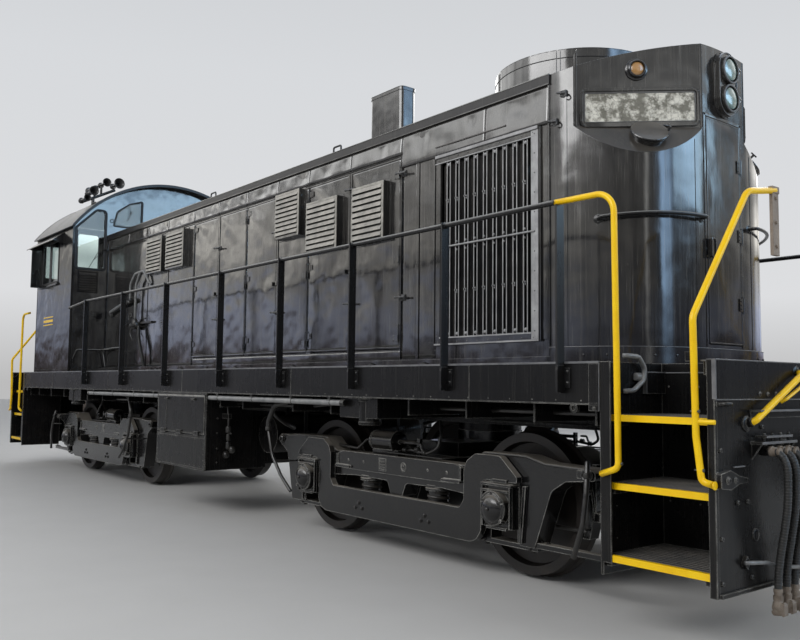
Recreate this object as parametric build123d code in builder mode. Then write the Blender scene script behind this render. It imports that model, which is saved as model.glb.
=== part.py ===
from build123d import *
import math
import os

# ---------------------------------------------------------------------------
# Four-axle end-cab diesel switching locomotive.  Millimetres.
# +X runs towards the long hood's nose, +Z is up, Y = 0 is the track centre.
# z = 0 is the bottom of the wheel flanges, so the rail head is at RAIL.
# ---------------------------------------------------------------------------

# --- wheels and trucks ------------------------------------------------------
RAIL = 25.0              # rail head above the flange bottoms = flange depth
WHEEL_R = 508.0          # 40 in wheel
AXLE_Z = RAIL + WHEEL_R
TRUCK_X = 3429.0         # truck centres at +/- TRUCK_X
AXLE_DX = 1219.0         # half of the 8 ft truck wheelbase
AXLE_R = 95.0
JOURNAL_R = 82.0
FRAME_Y0, FRAME_Y1 = 920.0, 1072.0      # cast side frame
EQ_Y0, EQ_Y1 = 1082.0, 1136.0           # equalizer bar
CENTRE_PLATE_Z = 985.0

# --- underframe -------------------------------------------------------------
DECK_Z = 1520.0
DECK_T = 20.0
SILL_Y = 1524.0          # outer face of the side sill
SILL_Z0 = 1270.0
SILL_X = 5830.0          # where the step wells begin
END_X = 6500.0           # inner face of the end plate
END_T = 40.0
WELL_Y = 930.0           # inner wall of a step well
COUPLER_Z = 901.0        # 34.5 in above the rail
COUPLER_PIN_X = 5950.0

# --- hood -------------------------------------------------------------------
HOOD_Y = 1000.0          # outer face of the hood side
SKIN = 10.0
ROOF_APEX = 3765.0
ROOF_R = 2541.0          # radius of the arched hood roof
ROOF_CZ = ROOF_APEX - ROOF_R
HOOD_X0 = -3620.0        # cab front
NOSE_X0 = 5020.0
NOSE_X1 = 5745.0
NOSE_R = 725.0
DOOR_Z0, DOOR_Z1 = 1670.0, 3320.0
LEAF_Y0, LEAF_Y1 = 990.0, 1004.0
LEAF_GAP = 3.0           # to each side of a seam line
HINGE_Y = 1018.0         # the leaves' hinge axes
HINGE_IN = 14.0          # and how far they lie in from the leaves' edges

# --- cab --------------------------------------------------------------------
CAB_X0, CAB_X1 = -5290.0, -3620.0
CAB_Y = 1524.0
WALL = 30.0
CAB_ROOF_R, CAB_APEX, CAB_ROOF_T = 1930.0, 4450.0, 36.0
CAB_ROOF_CZ = CAB_APEX - CAB_ROOF_R
CAB_FLOOR_Z = 1600.0

# --- rails ------------------------------------------------------------------
POST_Y0, POST_Y1 = 1527.0, 1592.0
RAIL_TUBE_R = 17.0
RAIL_Y = 1560.0
RAIL_Z = 2480.0

SIDES = [("right", -1.0), ("left", 1.0)]

os.makedirs("parts", exist_ok=True)


def block(x0, x1, y0, y1, z0, z1, mode=Mode.ADD):
    """A rectangular piece between two corners."""
    with Locations(((x0 + x1) / 2, (y0 + y1) / 2, (z0 + z1) / 2)):
        return Box(x1 - x0, y1 - y0, z1 - z0, mode=mode)


def rod_y(x, z, r, y0, y1, mode=Mode.ADD):
    """A round piece lying across the track."""
    with Locations(Location((x, (y0 + y1) / 2, z), (90, 0, 0))):
        return Cylinder(r, abs(y1 - y0), mode=mode)


def rod_x(y, z, r, x0, x1, mode=Mode.ADD):
    """A round piece lying along the track."""
    with Locations(Location(((x0 + x1) / 2, y, z), (0, 90, 0))):
        return Cylinder(r, abs(x1 - x0), mode=mode)


def rod_z(x, y, r, z0, z1, mode=Mode.ADD):
    with Locations(((x), y, (z0 + z1) / 2)):
        return Cylinder(r, abs(z1 - z0), mode=mode)


def slab(plane, points, amount, mode=Mode.ADD, corner=0.0):
    """A flat plate: the closed outline on plane, given a thickness along its normal."""
    with BuildSketch(plane) as outline:
        with BuildLine():
            Polyline(*points, close=True)
        make_face()
        if corner:
            fillet(outline.vertices(), corner)
    return extrude(outline.sketch, amount=amount, mode=mode)


def rounded_slab(plane, corners, amount, mode=Mode.ADD):
    """A cast or flame-cut plate: the closed outline of (a, b, corner radius), with a thickness."""
    count = len(corners)
    with BuildSketch(plane) as outline:
        with BuildLine():
            ends = []
            for i, (px, py, r) in enumerate(corners):
                ax, ay, _ = corners[i - 1]
                bx, by, _ = corners[(i + 1) % count]
                la, lb = math.hypot(ax - px, ay - py), math.hypot(bx - px, by - py)
                ua = ((ax - px) / la, (ay - py) / la)
                ub = ((bx - px) / lb, (by - py) / lb)
                half = math.acos(max(-1.0, min(1.0, ua[0] * ub[0] + ua[1] * ub[1]))) / 2
                if r <= 0 or half > math.radians(89):
                    ends.append(((px, py), None, (px, py)))
                    continue
                t = r / math.tan(half)
                bis = (ua[0] + ub[0], ua[1] + ub[1])
                lbis = math.hypot(*bis)
                reach = r / math.sin(half) - r
                mid = (px + bis[0] / lbis * reach, py + bis[1] / lbis * reach)
                ends.append(((px + ua[0] * t, py + ua[1] * t), mid, (px + ub[0] * t, py + ub[1] * t)))
            for i, (start, mid, stop) in enumerate(ends):
                if mid is not None:
                    ThreePointArc(start, mid, stop)
                Line(stop, ends[(i + 1) % count][0])
        make_face()
    return extrude(outline.sketch, amount=amount, mode=mode)


def side_plane(y):
    """The vertical plane |Y| = y on the right-hand side, facing outwards; local x = X, y = Z."""
    return Plane.XZ.offset(y)


def tube(points, radii, r, mode=Mode.ADD):
    """A bent round bar through the points, with a bend radius at each corner."""
    with BuildLine() as path:
        if len(points) == 2:
            Line(*points)
        else:
            FilletPolyline(*points, radius=radii)
    start = path.line @ 0
    along = path.line % 0
    with BuildSketch(Plane(origin=start, z_dir=along)) as section:
        Circle(r)
    return sweep(section.sketch, path=path.line, mode=mode)


def louvre_box(xa, xb, za, zb, y0, depth=70.0, slats=9):
    """A shallow louvred box on the hood's right-hand side: a frame with sloped slats."""
    block(xa, xb, -(y0 + depth), -(y0 - 2), za, zb)
    pitch = (zb - za - 40) / slats
    for n in range(slats):
        z = za + 20 + pitch * n
        # each gap is a sloping slot that rises inwards, behind the slat's lower lip
        slab(
            Plane.YZ.offset(xa + 22),
            [
                (-(y0 + depth) - 1, z + 2),
                (-(y0 + depth) - 1, z + pitch * 0.42),
                (-(y0 + depth * 0.35), z + pitch * 0.95),
                (-(y0 + depth * 0.35), z + pitch * 0.55),
            ],
            xb - xa - 44,
            mode=Mode.SUBTRACT,
        )


# ===========================================================================
# Running gear
# ===========================================================================

AXLES = [("wheelset_1", TRUCK_X + AXLE_DX), ("wheelset_2", TRUCK_X - AXLE_DX),
         ("wheelset_3", -TRUCK_X + AXLE_DX), ("wheelset_4", -TRUCK_X - AXLE_DX)]

# half section of a wheel and axle: (distance from the track centre, radius)
WHEELSET_HALF = [
    (0, AXLE_R), (640, AXLE_R), (640, 150), (700, 158), (726, 425), (680, 436), (680, 527),
    (687, 533), (700, 531), (712, 515), (722, 510), (824, 504), (824, 440), (760, 428),
    (742, 160), (832, 150), (832, AXLE_R), (884, AXLE_R), (884, JOURNAL_R), (1128, JOURNAL_R),
    (1128, 0),
]

for label, x_axle in AXLES:
    with BuildPart() as wheelset:
        across = Plane(origin=(x_axle, 0, AXLE_Z), x_dir=(0, 1, 0), z_dir=(1, 0, 0))
        with BuildSketch(across) as section:
            with BuildLine():
                left = [(-y, r) for y, r in reversed(WHEELSET_HALF) if y > 0]
                Polyline(*left, *WHEELSET_HALF, close=True)
            make_face()
        revolve(axis=Axis((x_axle, 0, AXLE_Z), (0, 1, 0)))
    wheelset.part.label = label
    export_step(wheelset.part, f"parts/{label}.step")

# The side frame's outline, seen from the right with the truck centre at 0: (x, z, corner radius)
FRAME_OUTLINE = [
    (-1825, 884, 26), (-1640, 884, 60), (-1490, 898, 40), (-1010, 898, 60), (-860, 785, 60), (860, 785, 60), (1010, 898, 60),
    (1430, 898, 80), (1600, 858, 60), (1960, 850, 20), (2012, 828, 20), (2012, 776, 20), (1770, 750, 60), (1650, 676, 60),
    (1500, 280, 16), (1366, 280, 10), (1366, 712, 20), (1072, 712, 20), (1072, 400, 16), (980, 400, 30), (940, 470, 40),
    (900, 570, 60), (560, 590, 60), (120, 584, 40), (75, 476, 30), (-75, 476, 30), (-120, 584, 40), (-560, 590, 60),
    (-900, 570, 60), (-940, 470, 40), (-980, 400, 30), (-1072, 400, 16), (-1072, 712, 20), (-1366, 712, 20),
    (-1366, 280, 10), (-1600, 280, 16), (-1660, 560, 60), (-1700, 720, 60), (-1825, 790, 30),
]

# The equalizer bar's outline, right half: (x, z, corner radius)
EQ_HALF = [(930, 250, 70), (1000, 275, 50), (1048, 345, 50), (1048, 640, 30), (1072, 702, 14), (1102, 708, 10),
           (1395, 708, 10), (1395, 748, 20), (1235, 885, 60), (985, 885, 60), (900, 830, 50), (866, 760, 50), (866, 545, 40),
           (820, 482, 30)]

TRUCKS = [("front", 1.0), ("rear", -1.0)]

for end, s in TRUCKS:
    cx = s * TRUCK_X

    with BuildPart() as truck_frame:
        for y0 in (FRAME_Y0, -FRAME_Y1):
            pts = [(cx + s * x, z, r) for x, z, r in FRAME_OUTLINE]
            rounded_slab(side_plane(y0), pts, FRAME_Y1 - FRAME_Y0)
        # bolster between the side frames, with its centre plate
        block(cx - 285, cx + 285, -FRAME_Y0 - 10, FRAME_Y0 + 10, 610, 780)
        block(cx - 230, cx + 230, -600, 600, 780, 900)
        rod_z(cx, 0, 285, 890, CENTRE_PLATE_Z)
        rod_z(cx, 0, 66, 690, CENTRE_PLATE_Z + 5, mode=Mode.SUBTRACT)
        # outer end cross bar, carried in the arms' end eyes
        rod_y(cx + s * 1955, 812, 34, -FRAME_Y1 - 26, FRAME_Y1 + 26)
        # tie bars under the pedestals
        for ax in (-AXLE_DX, AXLE_DX):
            for q in (-1, 1):
                ya, yb = sorted((q * (FRAME_Y0 + 20), q * (FRAME_Y1 - 20)))
                block(cx + ax - 290, cx + ax + 290, ya, yb, 255, 288)
                xa, xb = sorted((cx + ax + (-290 if ax > 0 else 150), cx + ax + (-150 if ax > 0 else 290)))
                block(xa, xb, ya, yb, 286, 420)
        # hole through the bar's end eye
        rod_y(cx + s * 1955, 812, 20, -FRAME_Y1 - 40, FRAME_Y1 + 40, mode=Mode.SUBTRACT)
        # spring pockets under the top bar
        for q in (-1, 1):
            for x in (-430, 430):
                rod_z(cx + x, q * 996, 92, 560, 600)
    truck_frame.part.label = f"{end}_truck_frame"
    export_step(truck_frame.part, f"parts/{end}_truck_frame.step")

    with BuildPart() as equalizers:
        pts = [(cx + x, z, r) for x, z, r in EQ_HALF] + [(cx - x, z, r) for x, z, r in reversed(EQ_HALF)]
        for y0 in (EQ_Y0, -EQ_Y1):
            rounded_slab(side_plane(y0), pts, EQ_Y1 - EQ_Y0)
        for q in (-1, 1):
            for x in (-430, 430):
                # spring seat bolted to the bar's inner face, and the coil spring on it
                ya, yb = sorted((q * 900, q * (EQ_Y0 + 4)))
                block(cx + x - 95, cx + x + 95, ya, yb, 330, 352)
                rod_z(cx + x, q * 996, 78, 350, 559)
    equalizers.part.label = f"{end}_equalizers"
    export_step(equalizers.part, f"parts/{end}_equalizers.step")

    with BuildPart() as journal_boxes:
        for ax in (-AXLE_DX, AXLE_DX):
            for q in (-1, 1):
                x = cx + ax
                ya, yb = sorted((q * 900, q * 1140))
                block(x - 138, x + 138, ya, yb, 385, 700)
                rod_y(x, AXLE_Z - 8, 118, q * 1120, q * 1195)
                rod_y(x, AXLE_Z - 8, 84, q * 1180, q * 1222)
                rod_y(x, AXLE_Z, JOURNAL_R + 1.5, q * 880, q * 1136, mode=Mode.SUBTRACT)
    journal_boxes.part.label = f"{end}_journal_boxes"
    export_step(journal_boxes.part, f"parts/{end}_journal_boxes.step")

    with BuildPart() as brake_gear:
        # two brake beams, each beyond its wheels
        for ax, d in ((s * AXLE_DX, s), (-s * AXLE_DX, -s)):
            x = cx + ax
            for q in (-1, 1):
                ya, yb = sorted((q * 716, q * 812))
                with BuildSketch(side_plane(ya)) as shoe:
                    with Locations((x, AXLE_Z)):
                        Circle(WHEEL_R + 62)
                        Circle(WHEEL_R + 8, mode=Mode.SUBTRACT)
                    with Locations((x + d * 500, AXLE_Z - 20)):
                        Rectangle(260, 330, mode=Mode.INTERSECT)
                extrude(shoe.sketch, amount=yb - ya)
                xa, xb = sorted((x + d * (WHEEL_R + 40), x + d * (WHEEL_R + 72)))
                block(xa, xb, ya + 20, yb - 20, 500, 850)
            xa, xb = sorted((x + d * (WHEEL_R + 50), x + d * (WHEEL_R + 110)))
            block(xa, xb, -800, 800, 470, 530)
    brake_gear.part.label = f"{end}_brake_gear"
    export_step(brake_gear.part, f"parts/{end}_brake_gear.step")

    with BuildPart() as motors:
        for d in (-1, 1):
            x = cx + d * 660
            rod_y(x, 540, 320, -520, 520)
            xa, xb = sorted((x, cx + d * 1090))
            block(xa, xb, -480, 480, 380, 700)
            rod_y(cx + d * AXLE_DX, AXLE_Z, AXLE_R + 50, -470, 470)
            rod_y(cx + d * AXLE_DX, AXLE_Z, AXLE_R + 8, -530, 530, mode=Mode.SUBTRACT)
    motors.part.label = f"{end}_traction_motors"
    export_step(motors.part, f"parts/{end}_traction_motors.step")

# ===========================================================================
# Underframe
# ===========================================================================

with BuildPart() as underframe:
    block(-SILL_X, SILL_X, -SILL_Y, SILL_Y, DECK_Z - DECK_T, DECK_Z)
    block(-END_X, END_X, -WELL_Y, WELL_Y, DECK_Z - DECK_T, DECK_Z)
    for q in (-1, 1):
        # side sill: web, bottom flange
        ya, yb = sorted((q * (SILL_Y - 30), q * SILL_Y))
        block(-SILL_X, SILL_X, ya, yb, SILL_Z0, DECK_Z - 10)
        ya, yb = sorted((q * (SILL_Y - 120), q * SILL_Y))
        block(-SILL_X, SILL_X, ya, yb, SILL_Z0, SILL_Z0 + 22)
        # centre sill
        ya, yb = sorted((q * 250, q * 290))
        block(-END_X, END_X, ya, yb, 1050, DECK_Z - 10)
    block(-5700, 5700, -290, 290, 1050, 1072)
    for x in (-5780, -4900, -1500, 0, 1500, 4900, 5780):
        block(x - 12, x + 12, -SILL_Y + 15, SILL_Y - 15, 1285, DECK_Z - 10)
    for s in (-1, 1):
        # body bolster, centre plate, king pin and jacking pads
        block(s * TRUCK_X - 250, s * TRUCK_X + 250, -1470, 1470, 1110, 1320)
        block(s * TRUCK_X - 250, s * TRUCK_X + 250, -290, 290, 1050, 1320)
        rod_z(s * TRUCK_X, 0, 280, CENTRE_PLATE_Z + 5, 1060)
        rod_z(s * TRUCK_X, 0, 60, 700, 1060)
        for q in (-1, 1):
            rod_z(s * TRUCK_X + s * 60, q * 1395, 88, 1062, 1275)
        # draft pocket for the coupler
        xa, xb = sorted((s * 5690, s * (END_X - 35)))
        block(xa, xb, -290, 290, 1048, 1072)
        block(xa, xb, -290, 290, 738, 754)
        for q in (-1, 1):
            ya, yb = sorted((q * 205, q * 290))
            block(xa, xb, ya, yb, 750, 1060)
        xa, xb = sorted((s * 5690, s * 5730))
        block(xa, xb, -290, 290, 750, 1060)
        rod_z(s * COUPLER_PIN_X, 0, 38, 745, 1060)
underframe.part.label = "underframe"
export_step(underframe.part, "parts/underframe.step")

with BuildPart() as pilots:
    for s in (-1, 1):
        xa, xb = sorted((s * END_X, s * (END_X + END_T)))
        block(xa, xb, -SILL_Y, SILL_Y, 330, DECK_Z)
        block(xa - 5, xb + 5, -330, 330, 690, 1120, mode=Mode.SUBTRACT)
        # end sill band along the top, a pipe bracket shelf on each side, and two foot brackets
        xa, xb = sorted((s * (END_X + 20), s * (END_X + END_T + 10)))
        block(xa, xb, -SILL_Y, SILL_Y, 1316, DECK_Z)
        for q in (-1, 1):
            ya, yb = sorted((q * 800, q * 1180))
            xa, xb = sorted((s * (END_X + 20), s * (END_X + 105)))
            block(xa, xb, ya, yb, 1082, 1094)
    # angle cocks that carry the three free hoses at the front right-hand corner
    for y in (-1085.0, -995.0, -905.0):
        rod_x(y, 1045, 27, END_X + END_T - 5, END_X + 100)
        block(END_X + END_T + 8, END_X + END_T + 38, y - 9, y + 9, 1065, 1084)
pilots.part.label = "pilots"
export_step(pilots.part, "parts/pilots.step")

# tread heights and their outer edges: (z of the top, |Y| of the outer edge)
TREADS = [(440, 1508), (835, 1475), (1215, 1455)]

with BuildPart() as corner_steps:
    for s in (-1, 1):
        for q in (-1, 1):
            xa, xb = sorted((s * (SILL_X + 1), s * (SILL_X + 21)))
            ya, yb = sorted((q * WELL_Y, q * (SILL_Y - 2)))
            block(xa, xb, ya, yb, 330, DECK_Z)
            # its outer edge is flanged towards the treads
            xe, xf = sorted((s * (SILL_X + 1), s * (SILL_X + 72)))
            yc, yd = sorted((q * (SILL_Y - 12), q * (SILL_Y - 2)))
            block(xe, xf, yc, yd, 400, DECK_Z)
            yc, yd = sorted((q * (WELL_Y + 1), q * (WELL_Y + 16)))
            xc, xd = sorted((s * (SILL_X + 1), s * (END_X - 1)))
            block(xc, xd, yc, yd, 390, DECK_Z)
            for z, y_edge in TREADS:
                ye, yf = sorted((q * (WELL_Y + 5), q * y_edge))
                block(xc, xd, ye, yf, z - 32, z)
corner_steps.part.label = "corner_steps"
export_step(corner_steps.part, "parts/corner_steps.step")

BOX_X0, BOX_X1 = -350.0, 870.0

with BuildPart() as battery_boxes:
    for q in (-1, 1):
        ya, yb = sorted((q * 820, q * (SILL_Y - 2)))
        block(BOX_X0, BOX_X1, ya, yb, 480, SILL_Z0 - 1)
        # upper compartment, open towards the side
        yc, yd = sorted((q * 850, q * SILL_Y))
        block(BOX_X0 + 40, BOX_X1 - 40, yc, yd, 855, 1235, mode=Mode.SUBTRACT)
        # the lower cover is bolted on and stands a little proud of the box
        ya, yb = sorted((q * (SILL_Y - 2), q * (SILL_Y + 8)))
        block(BOX_X0 + 22, BOX_X1 - 22, ya, yb, 500, 805)
    # the fuel tank fills the space between the two boxes
    block(BOX_X0 + 10, BOX_X1, -825, 825, 520, 1030)
battery_boxes.part.label = "battery_boxes"
export_step(battery_boxes.part, "parts/battery_boxes.step")

for side_name, q in SIDES:
    with BuildPart() as battery_door:
        ya, yb = sorted((q * (SILL_Y + 1), q * (SILL_Y + 11)))
        block(BOX_X0 + 22, BOX_X1 - 22, ya, yb, 840, 1250)
        yc, yd = sorted((q * (SILL_Y + 10), q * (SILL_Y + 26)))
        for x in (BOX_X0 + 280, BOX_X1 - 280):
            block(x - 30, x + 30, yc, yd, 1190, 1215)
        # hinge barrels along its lower edge
        for x in (BOX_X0 + 190, (BOX_X0 + BOX_X1) / 2, BOX_X1 - 190):
            rod_x(q * (SILL_Y + 22), 832, 8, x - 55, x + 55)
            yc, yd = sorted((q * (SILL_Y + 10), q * (SILL_Y + 28)))
            block(x - 55, x + 55, yc, yd, 846, 872)
            yc, yd = sorted((q * (SILL_Y + 18), q * (SILL_Y + 28)))
            block(x - 55, x + 55, yc, yd, 832, 872)
    battery_door.part.label = f"battery_door_{side_name}"
    export_step(battery_door.part, f"parts/battery_door_{side_name}.step")

with BuildPart() as air_tanks:
    # two main air reservoirs across the frame, hung from the deck on straps
    for x in (-720, 1150):
        rod_y(x, 850, 190, -960, 960)
        for q in (-1, 1):
            ya, yb = sorted((q * 600, q * 640))
            for dx in (-192, 180):
                block(x + dx, x + dx + 12, ya, yb, 850, DECK_Z - DECK_T - 2)
    # pipe runs along the sill
    for q in (-1, 1):
        rod_x(q * 1500, 1225, 22, -2710, BOX_X0 - 10)
        rod_x(q * 1500, 1225, 22, BOX_X1 + 10, 3270)
air_tanks.part.label = "air_tanks_and_pipes"
export_step(air_tanks.part, "parts/air_tanks_and_pipes.step")

# ===========================================================================
# Couplers.  Outline of the head in plan, for the front one: (x, y)
# ===========================================================================

HEAD = [(6475, -70), (6520, -70), (6585, -165), (6745, -178), (6745, -60), (6700, -20), (6720, 30),
        (6800, 60), (6905, 150), (6915, 195), (6870, 215), (6600, 165), (6520, 70), (6475, 70)]
LUG = [(6700, -178), (6790, -190), (6850, -165), (6850, -95), (6800, -60), (6700, -40)]
KNUCKLE = [(6800, -169), (6850, -176), (6915, -150), (6931, -110), (6931, -20), (6905, 8), (6870, -2),
           (6862, -62), (6812, -75)]
PIN = (6808, -122)

for end, s in TRUCKS:
    with BuildPart() as coupler:
        flat = Plane.XY.offset(COUPLER_Z - 140)
        slab(flat, [(s * x, s * y) for x, y in HEAD], 280)
        block(*sorted((s * 5880, s * 6500)), -65, 65, COUPLER_Z - 62, COUPLER_Z + 62)
        for z0, z1 in ((COUPLER_Z - 175, COUPLER_Z - 139), (COUPLER_Z + 139, COUPLER_Z + 175)):
            slab(Plane.XY.offset(z0), [(s * x, s * y) for x, y in LUG], z1 - z0)
        rod_z(s * PIN[0], s * PIN[1], 21, COUPLER_Z - 185, COUPLER_Z + 190)
        rod_z(s * COUPLER_PIN_X, 0, 39, COUPLER_Z - 80, COUPLER_Z + 80, mode=Mode.SUBTRACT)
    coupler.part.label = f"{end}_coupler"
    export_step(coupler.part, f"parts/{end}_coupler.step")

    with BuildPart() as knuckle:
        slab(Plane.XY.offset(COUPLER_Z - 132), [(s * x, s * y) for x, y in KNUCKLE], 264)
        rod_z(s * PIN[0], s * PIN[1], 48, COUPLER_Z - 132, COUPLER_Z + 132)
        rod_z(s * PIN[0], s * PIN[1], 22, COUPLER_Z - 200, COUPLER_Z + 200, mode=Mode.SUBTRACT)
    knuckle.part.label = f"{end}_knuckle"
    export_step(knuckle.part, f"parts/{end}_knuckle.step")

# ===========================================================================
# Hood
# ===========================================================================

# door leaves on each side: (name, x0, x1, which edge the hinge is on, louvred box or None)
LEAVES = [
    ("a", -637.0, 12.0, "low", None),
    ("b", 12.0, 680.0, "high", None),
    ("c", 680.0, 1331.0, "low", None),
    ("d", 1331.0, 1927.0, "high", (1394.0, 1851.0, 2840.0, 3300.0)),
    ("e", 1927.0, 2633.0, "low", (1985.0, 2511.0, 2630.0, 3120.0)),
    ("f", 2633.0, 3372.0, "high", (2746.0, 3215.0, 2620.0, 3130.0)),
]
FIXED_BOXES = [(-1976.0, -1485.0, 2810.0, 3280.0), (-1345.0, -823.0, 2810.0, 3280.0)]
GRILLE = (3830.0, 4930.0, 1690.0, 3200.0)


def roof_cylinder(radius, x0, x1):
    """The solid under the arched hood roof, as a private tool."""
    with BuildPart() as tool:
        with Locations(Location(((x0 + x1) / 2, 0, ROOF_CZ), (0, 90, 0))):
            Cylinder(radius, x1 - x0)
    return tool.part


with BuildPart() as hood_sides:
    for q in (-1, 1):
        ya, yb = sorted((q * (HOOD_Y - SKIN), q * HOOD_Y))
        block(HOOD_X0, NOSE_X0 - 1, ya, yb, DECK_Z, 3545)
        # openings behind the leaves
        block(LEAVES[0][1] - 5, LEAVES[-1][2] + 5, ya - 1, yb + 1, DOOR_Z0, DOOR_Z1, mode=Mode.SUBTRACT)
        # radiator opening
        block(GRILLE[0] + 50, GRILLE[1] - 50, ya - 1, yb + 1, GRILLE[2] + 50, GRILLE[3] - 50, mode=Mode.SUBTRACT)
    for q in (-1, 1):
        # base strip, top rail and posts behind the seams
        ya, yb = sorted((q * HOOD_Y, q * (HOOD_Y + 14)))
        block(HOOD_X0, NOSE_X0 - 1, ya, yb, DECK_Z, 1580)
        ya, yb = sorted((q * 930, q * (HOOD_Y - SKIN + 1)))
        block(-700, 3440, ya, yb, 3330, 3390)
        block(-700, 3440, ya, yb, 1590, 1655)
        for x in (-680.0, 680.0, 1927.0, 3420.0):
            block(x - 38, x + 38, q * 957 - 27, q * 957 + 27, 1590, 3390)
    # the louvred boxes are built on the right-hand side, which is then mirrored
    for xa, xb, za, zb in FIXED_BOXES:
        louvre_box(xa, xb, za, zb, HOOD_Y)
with BuildPart() as hood_panels:
    add(hood_sides.part)
    split(bisect_by=Plane.XZ, keep=Keep.TOP)
    mirror(about=Plane.XZ)
hood_panels.part.label = "hood_sides"
export_step(hood_panels.part, "parts/hood_sides.step")

with BuildPart() as hood_roof:
    with BuildSketch(Plane.YZ.offset(HOOD_X0)) as arch:
        with Locations((0, ROOF_CZ)):
            Circle(ROOF_R)
            Circle(ROOF_R - SKIN, mode=Mode.SUBTRACT)
        with Locations((0, 3700)):
            Rectangle(2 * HOOD_Y + 20, 400, mode=Mode.INTERSECT)
    extrude(arch.sketch, amount=NOSE_X0 - 1 - HOOD_X0)
    for q in (-1, 1):
        # drip strip along each eave
        ya, yb = sorted((q * (HOOD_Y + 1), q * (HOOD_Y + 14)))
        block(HOOD_X0, NOSE_X0 - 1, ya, yb, 3490, 3562)
    # fan opening and lifting eye
    rod_z(4430, 0, 600, 3500, 4000, mode=Mode.SUBTRACT)
hood_roof.part.label = "hood_roof"
export_step(hood_roof.part, "parts/hood_roof.step")

with BuildPart() as fan_shroud:
    rod_z(4430, 0, 665, 3500, 3935)
    rod_z(4430, 0, 640, 3400, 3990, mode=Mode.SUBTRACT)
    add(roof_cylinder(ROOF_R + 1, 3000, 6000), mode=Mode.SUBTRACT)
    for n in range(-5, 6):
        half = math.sqrt(645.0 ** 2 - (n * 105.0) ** 2)
        block(4430 - half, 4430 + half, n * 105 - 6, n * 105 + 6, 3885, 3915)
    block(4430 - 20, 4430 + 20, -645, 645, 3885, 3915)
fan_shroud.part.label = "fan_shroud"
export_step(fan_shroud.part, "parts/fan_shroud.step")

with BuildPart() as exhaust_stack:
    with BuildSketch(Plane.XY.offset(3600)) as stack:
        with Locations((1960, 0)):
            RectangleRounded(545, 200, 55)
    extrude(stack.sketch, amount=880)
    top = exhaust_stack.faces().sort_by(Axis.Z)[-1]
    fillet(top.edges(), 22)
    with BuildSketch(Plane.XY.offset(3900)) as bore:
        with Locations((1960, 0)):
            RectangleRounded(490, 145, 40)
    extrude(bore.sketch, amount=700, mode=Mode.SUBTRACT)
    add(roof_cylinder(ROOF_R + 1, 1000, 3000), mode=Mode.SUBTRACT)
exhaust_stack.part.label = "exhaust_stack"
export_step(exhaust_stack.part, "parts/exhaust_stack.step")

with BuildPart() as engine_block:
    block(-2100, 3150, -480, 480, DECK_Z, 3150)
engine_block.part.label = "engine_block"
export_step(engine_block.part, "parts/engine_block.step")

with BuildPart() as side_radiators:
    for q in (-1, 1):
        x0, x1, z0, z1 = GRILLE
        ya, yb = sorted((q * (HOOD_Y + 1), q * (HOOD_Y + 22)))
        block(x0, x1, ya, yb, z0, z1)
        block(x0 + 60, x1 - 72, ya - 1, yb + 1, z0 + 60, z1 - 60, mode=Mode.SUBTRACT)
    for q in (-1, 1):
        # nine upright vanes, each with a lip on both of its edges
        for n in range(9):
            xc = x0 + 153 + 102 * n
            for dx in (-18, 18):
                ya, yb = sorted((q * (HOOD_Y - 12), q * (HOOD_Y + 12)))
                block(xc + dx - 5, xc + dx + 5, ya, yb, z0 + 55, z1 - 55)
        ya, yb = sorted((q * (HOOD_Y - 70), q * (HOOD_Y - 11)))
        block(x0 + 70, x1 - 100, ya, yb, z0 + 65, z1 - 65)
side_radiators.part.label = "side_radiators"
export_step(side_radiators.part, "parts/side_radiators.step")

# --- the nose: rounded vertical corners, cut above by a flat panel on each side -------

CHORD_A = (5210.0, 968.0)      # where the flat corner panel meets the side
CHORD_B = (5745.0, 272.0)      # where it meets the front
LEDGE_Z = 3153.0               # foot of the corner panel
LEDGE_SLOPE = 55.0             # fall of the ledge below it, in degrees


def nose_solid(inset, z0):
    """The nose's outer shape, drawn in by inset all round."""
    with BuildPart() as nose:
        x1, y1, r = NOSE_X1 - inset, HOOD_Y - inset, NOSE_R - inset
        with BuildSketch(Plane.XY.offset(z0)) as plan:
            with BuildLine():
                Line((NOSE_X0, -y1), (NOSE_X0, y1))
                RadiusArc((NOSE_X0, y1), (x1, y1 - r), r)
                Line((x1, y1 - r), (x1, -(y1 - r)))
                RadiusArc((x1, -(y1 - r)), (NOSE_X0, -y1), r)
            make_face()
        extrude(plan.sketch, amount=3900 - z0)
        with Locations(Location((5400, 0, ROOF_CZ), (0, 90, 0))):
            Cylinder(ROOF_R - inset, 1200, mode=Mode.INTERSECT)
        ax, ay = CHORD_A
        bx, by = CHORD_B
        length = math.hypot(bx - ax, by - ay)
        nx, ny = (ay - by) / length, (bx - ax) / length
        for q in (-1, 1):
            # a plane across the panel: local x points away from the nose, local y up
            origin = (ax - nx * inset - (bx - ax), q * (ay - ny * inset - (by - ay)), 0)
            along = ((bx - ax) / length, q * (by - ay) / length, 0)
            across = Plane(origin=origin, x_dir=(nx, q * ny, 0), z_dir=(along[0] * q, along[1] * q, 0))
            z_foot = LEDGE_Z - inset * 0.6
            drop = math.tan(math.radians(LEDGE_SLOPE))
            pts = [(0, z_foot), (600, z_foot - 600 * drop), (600, 4200), (0, 4200)]
            with BuildSketch(across) as cut:
                with BuildLine():
                    Polyline(*pts, close=True)
                make_face()
            extrude(cut.sketch, amount=3 * length, both=True, mode=Mode.SUBTRACT)
    return nose.part


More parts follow.
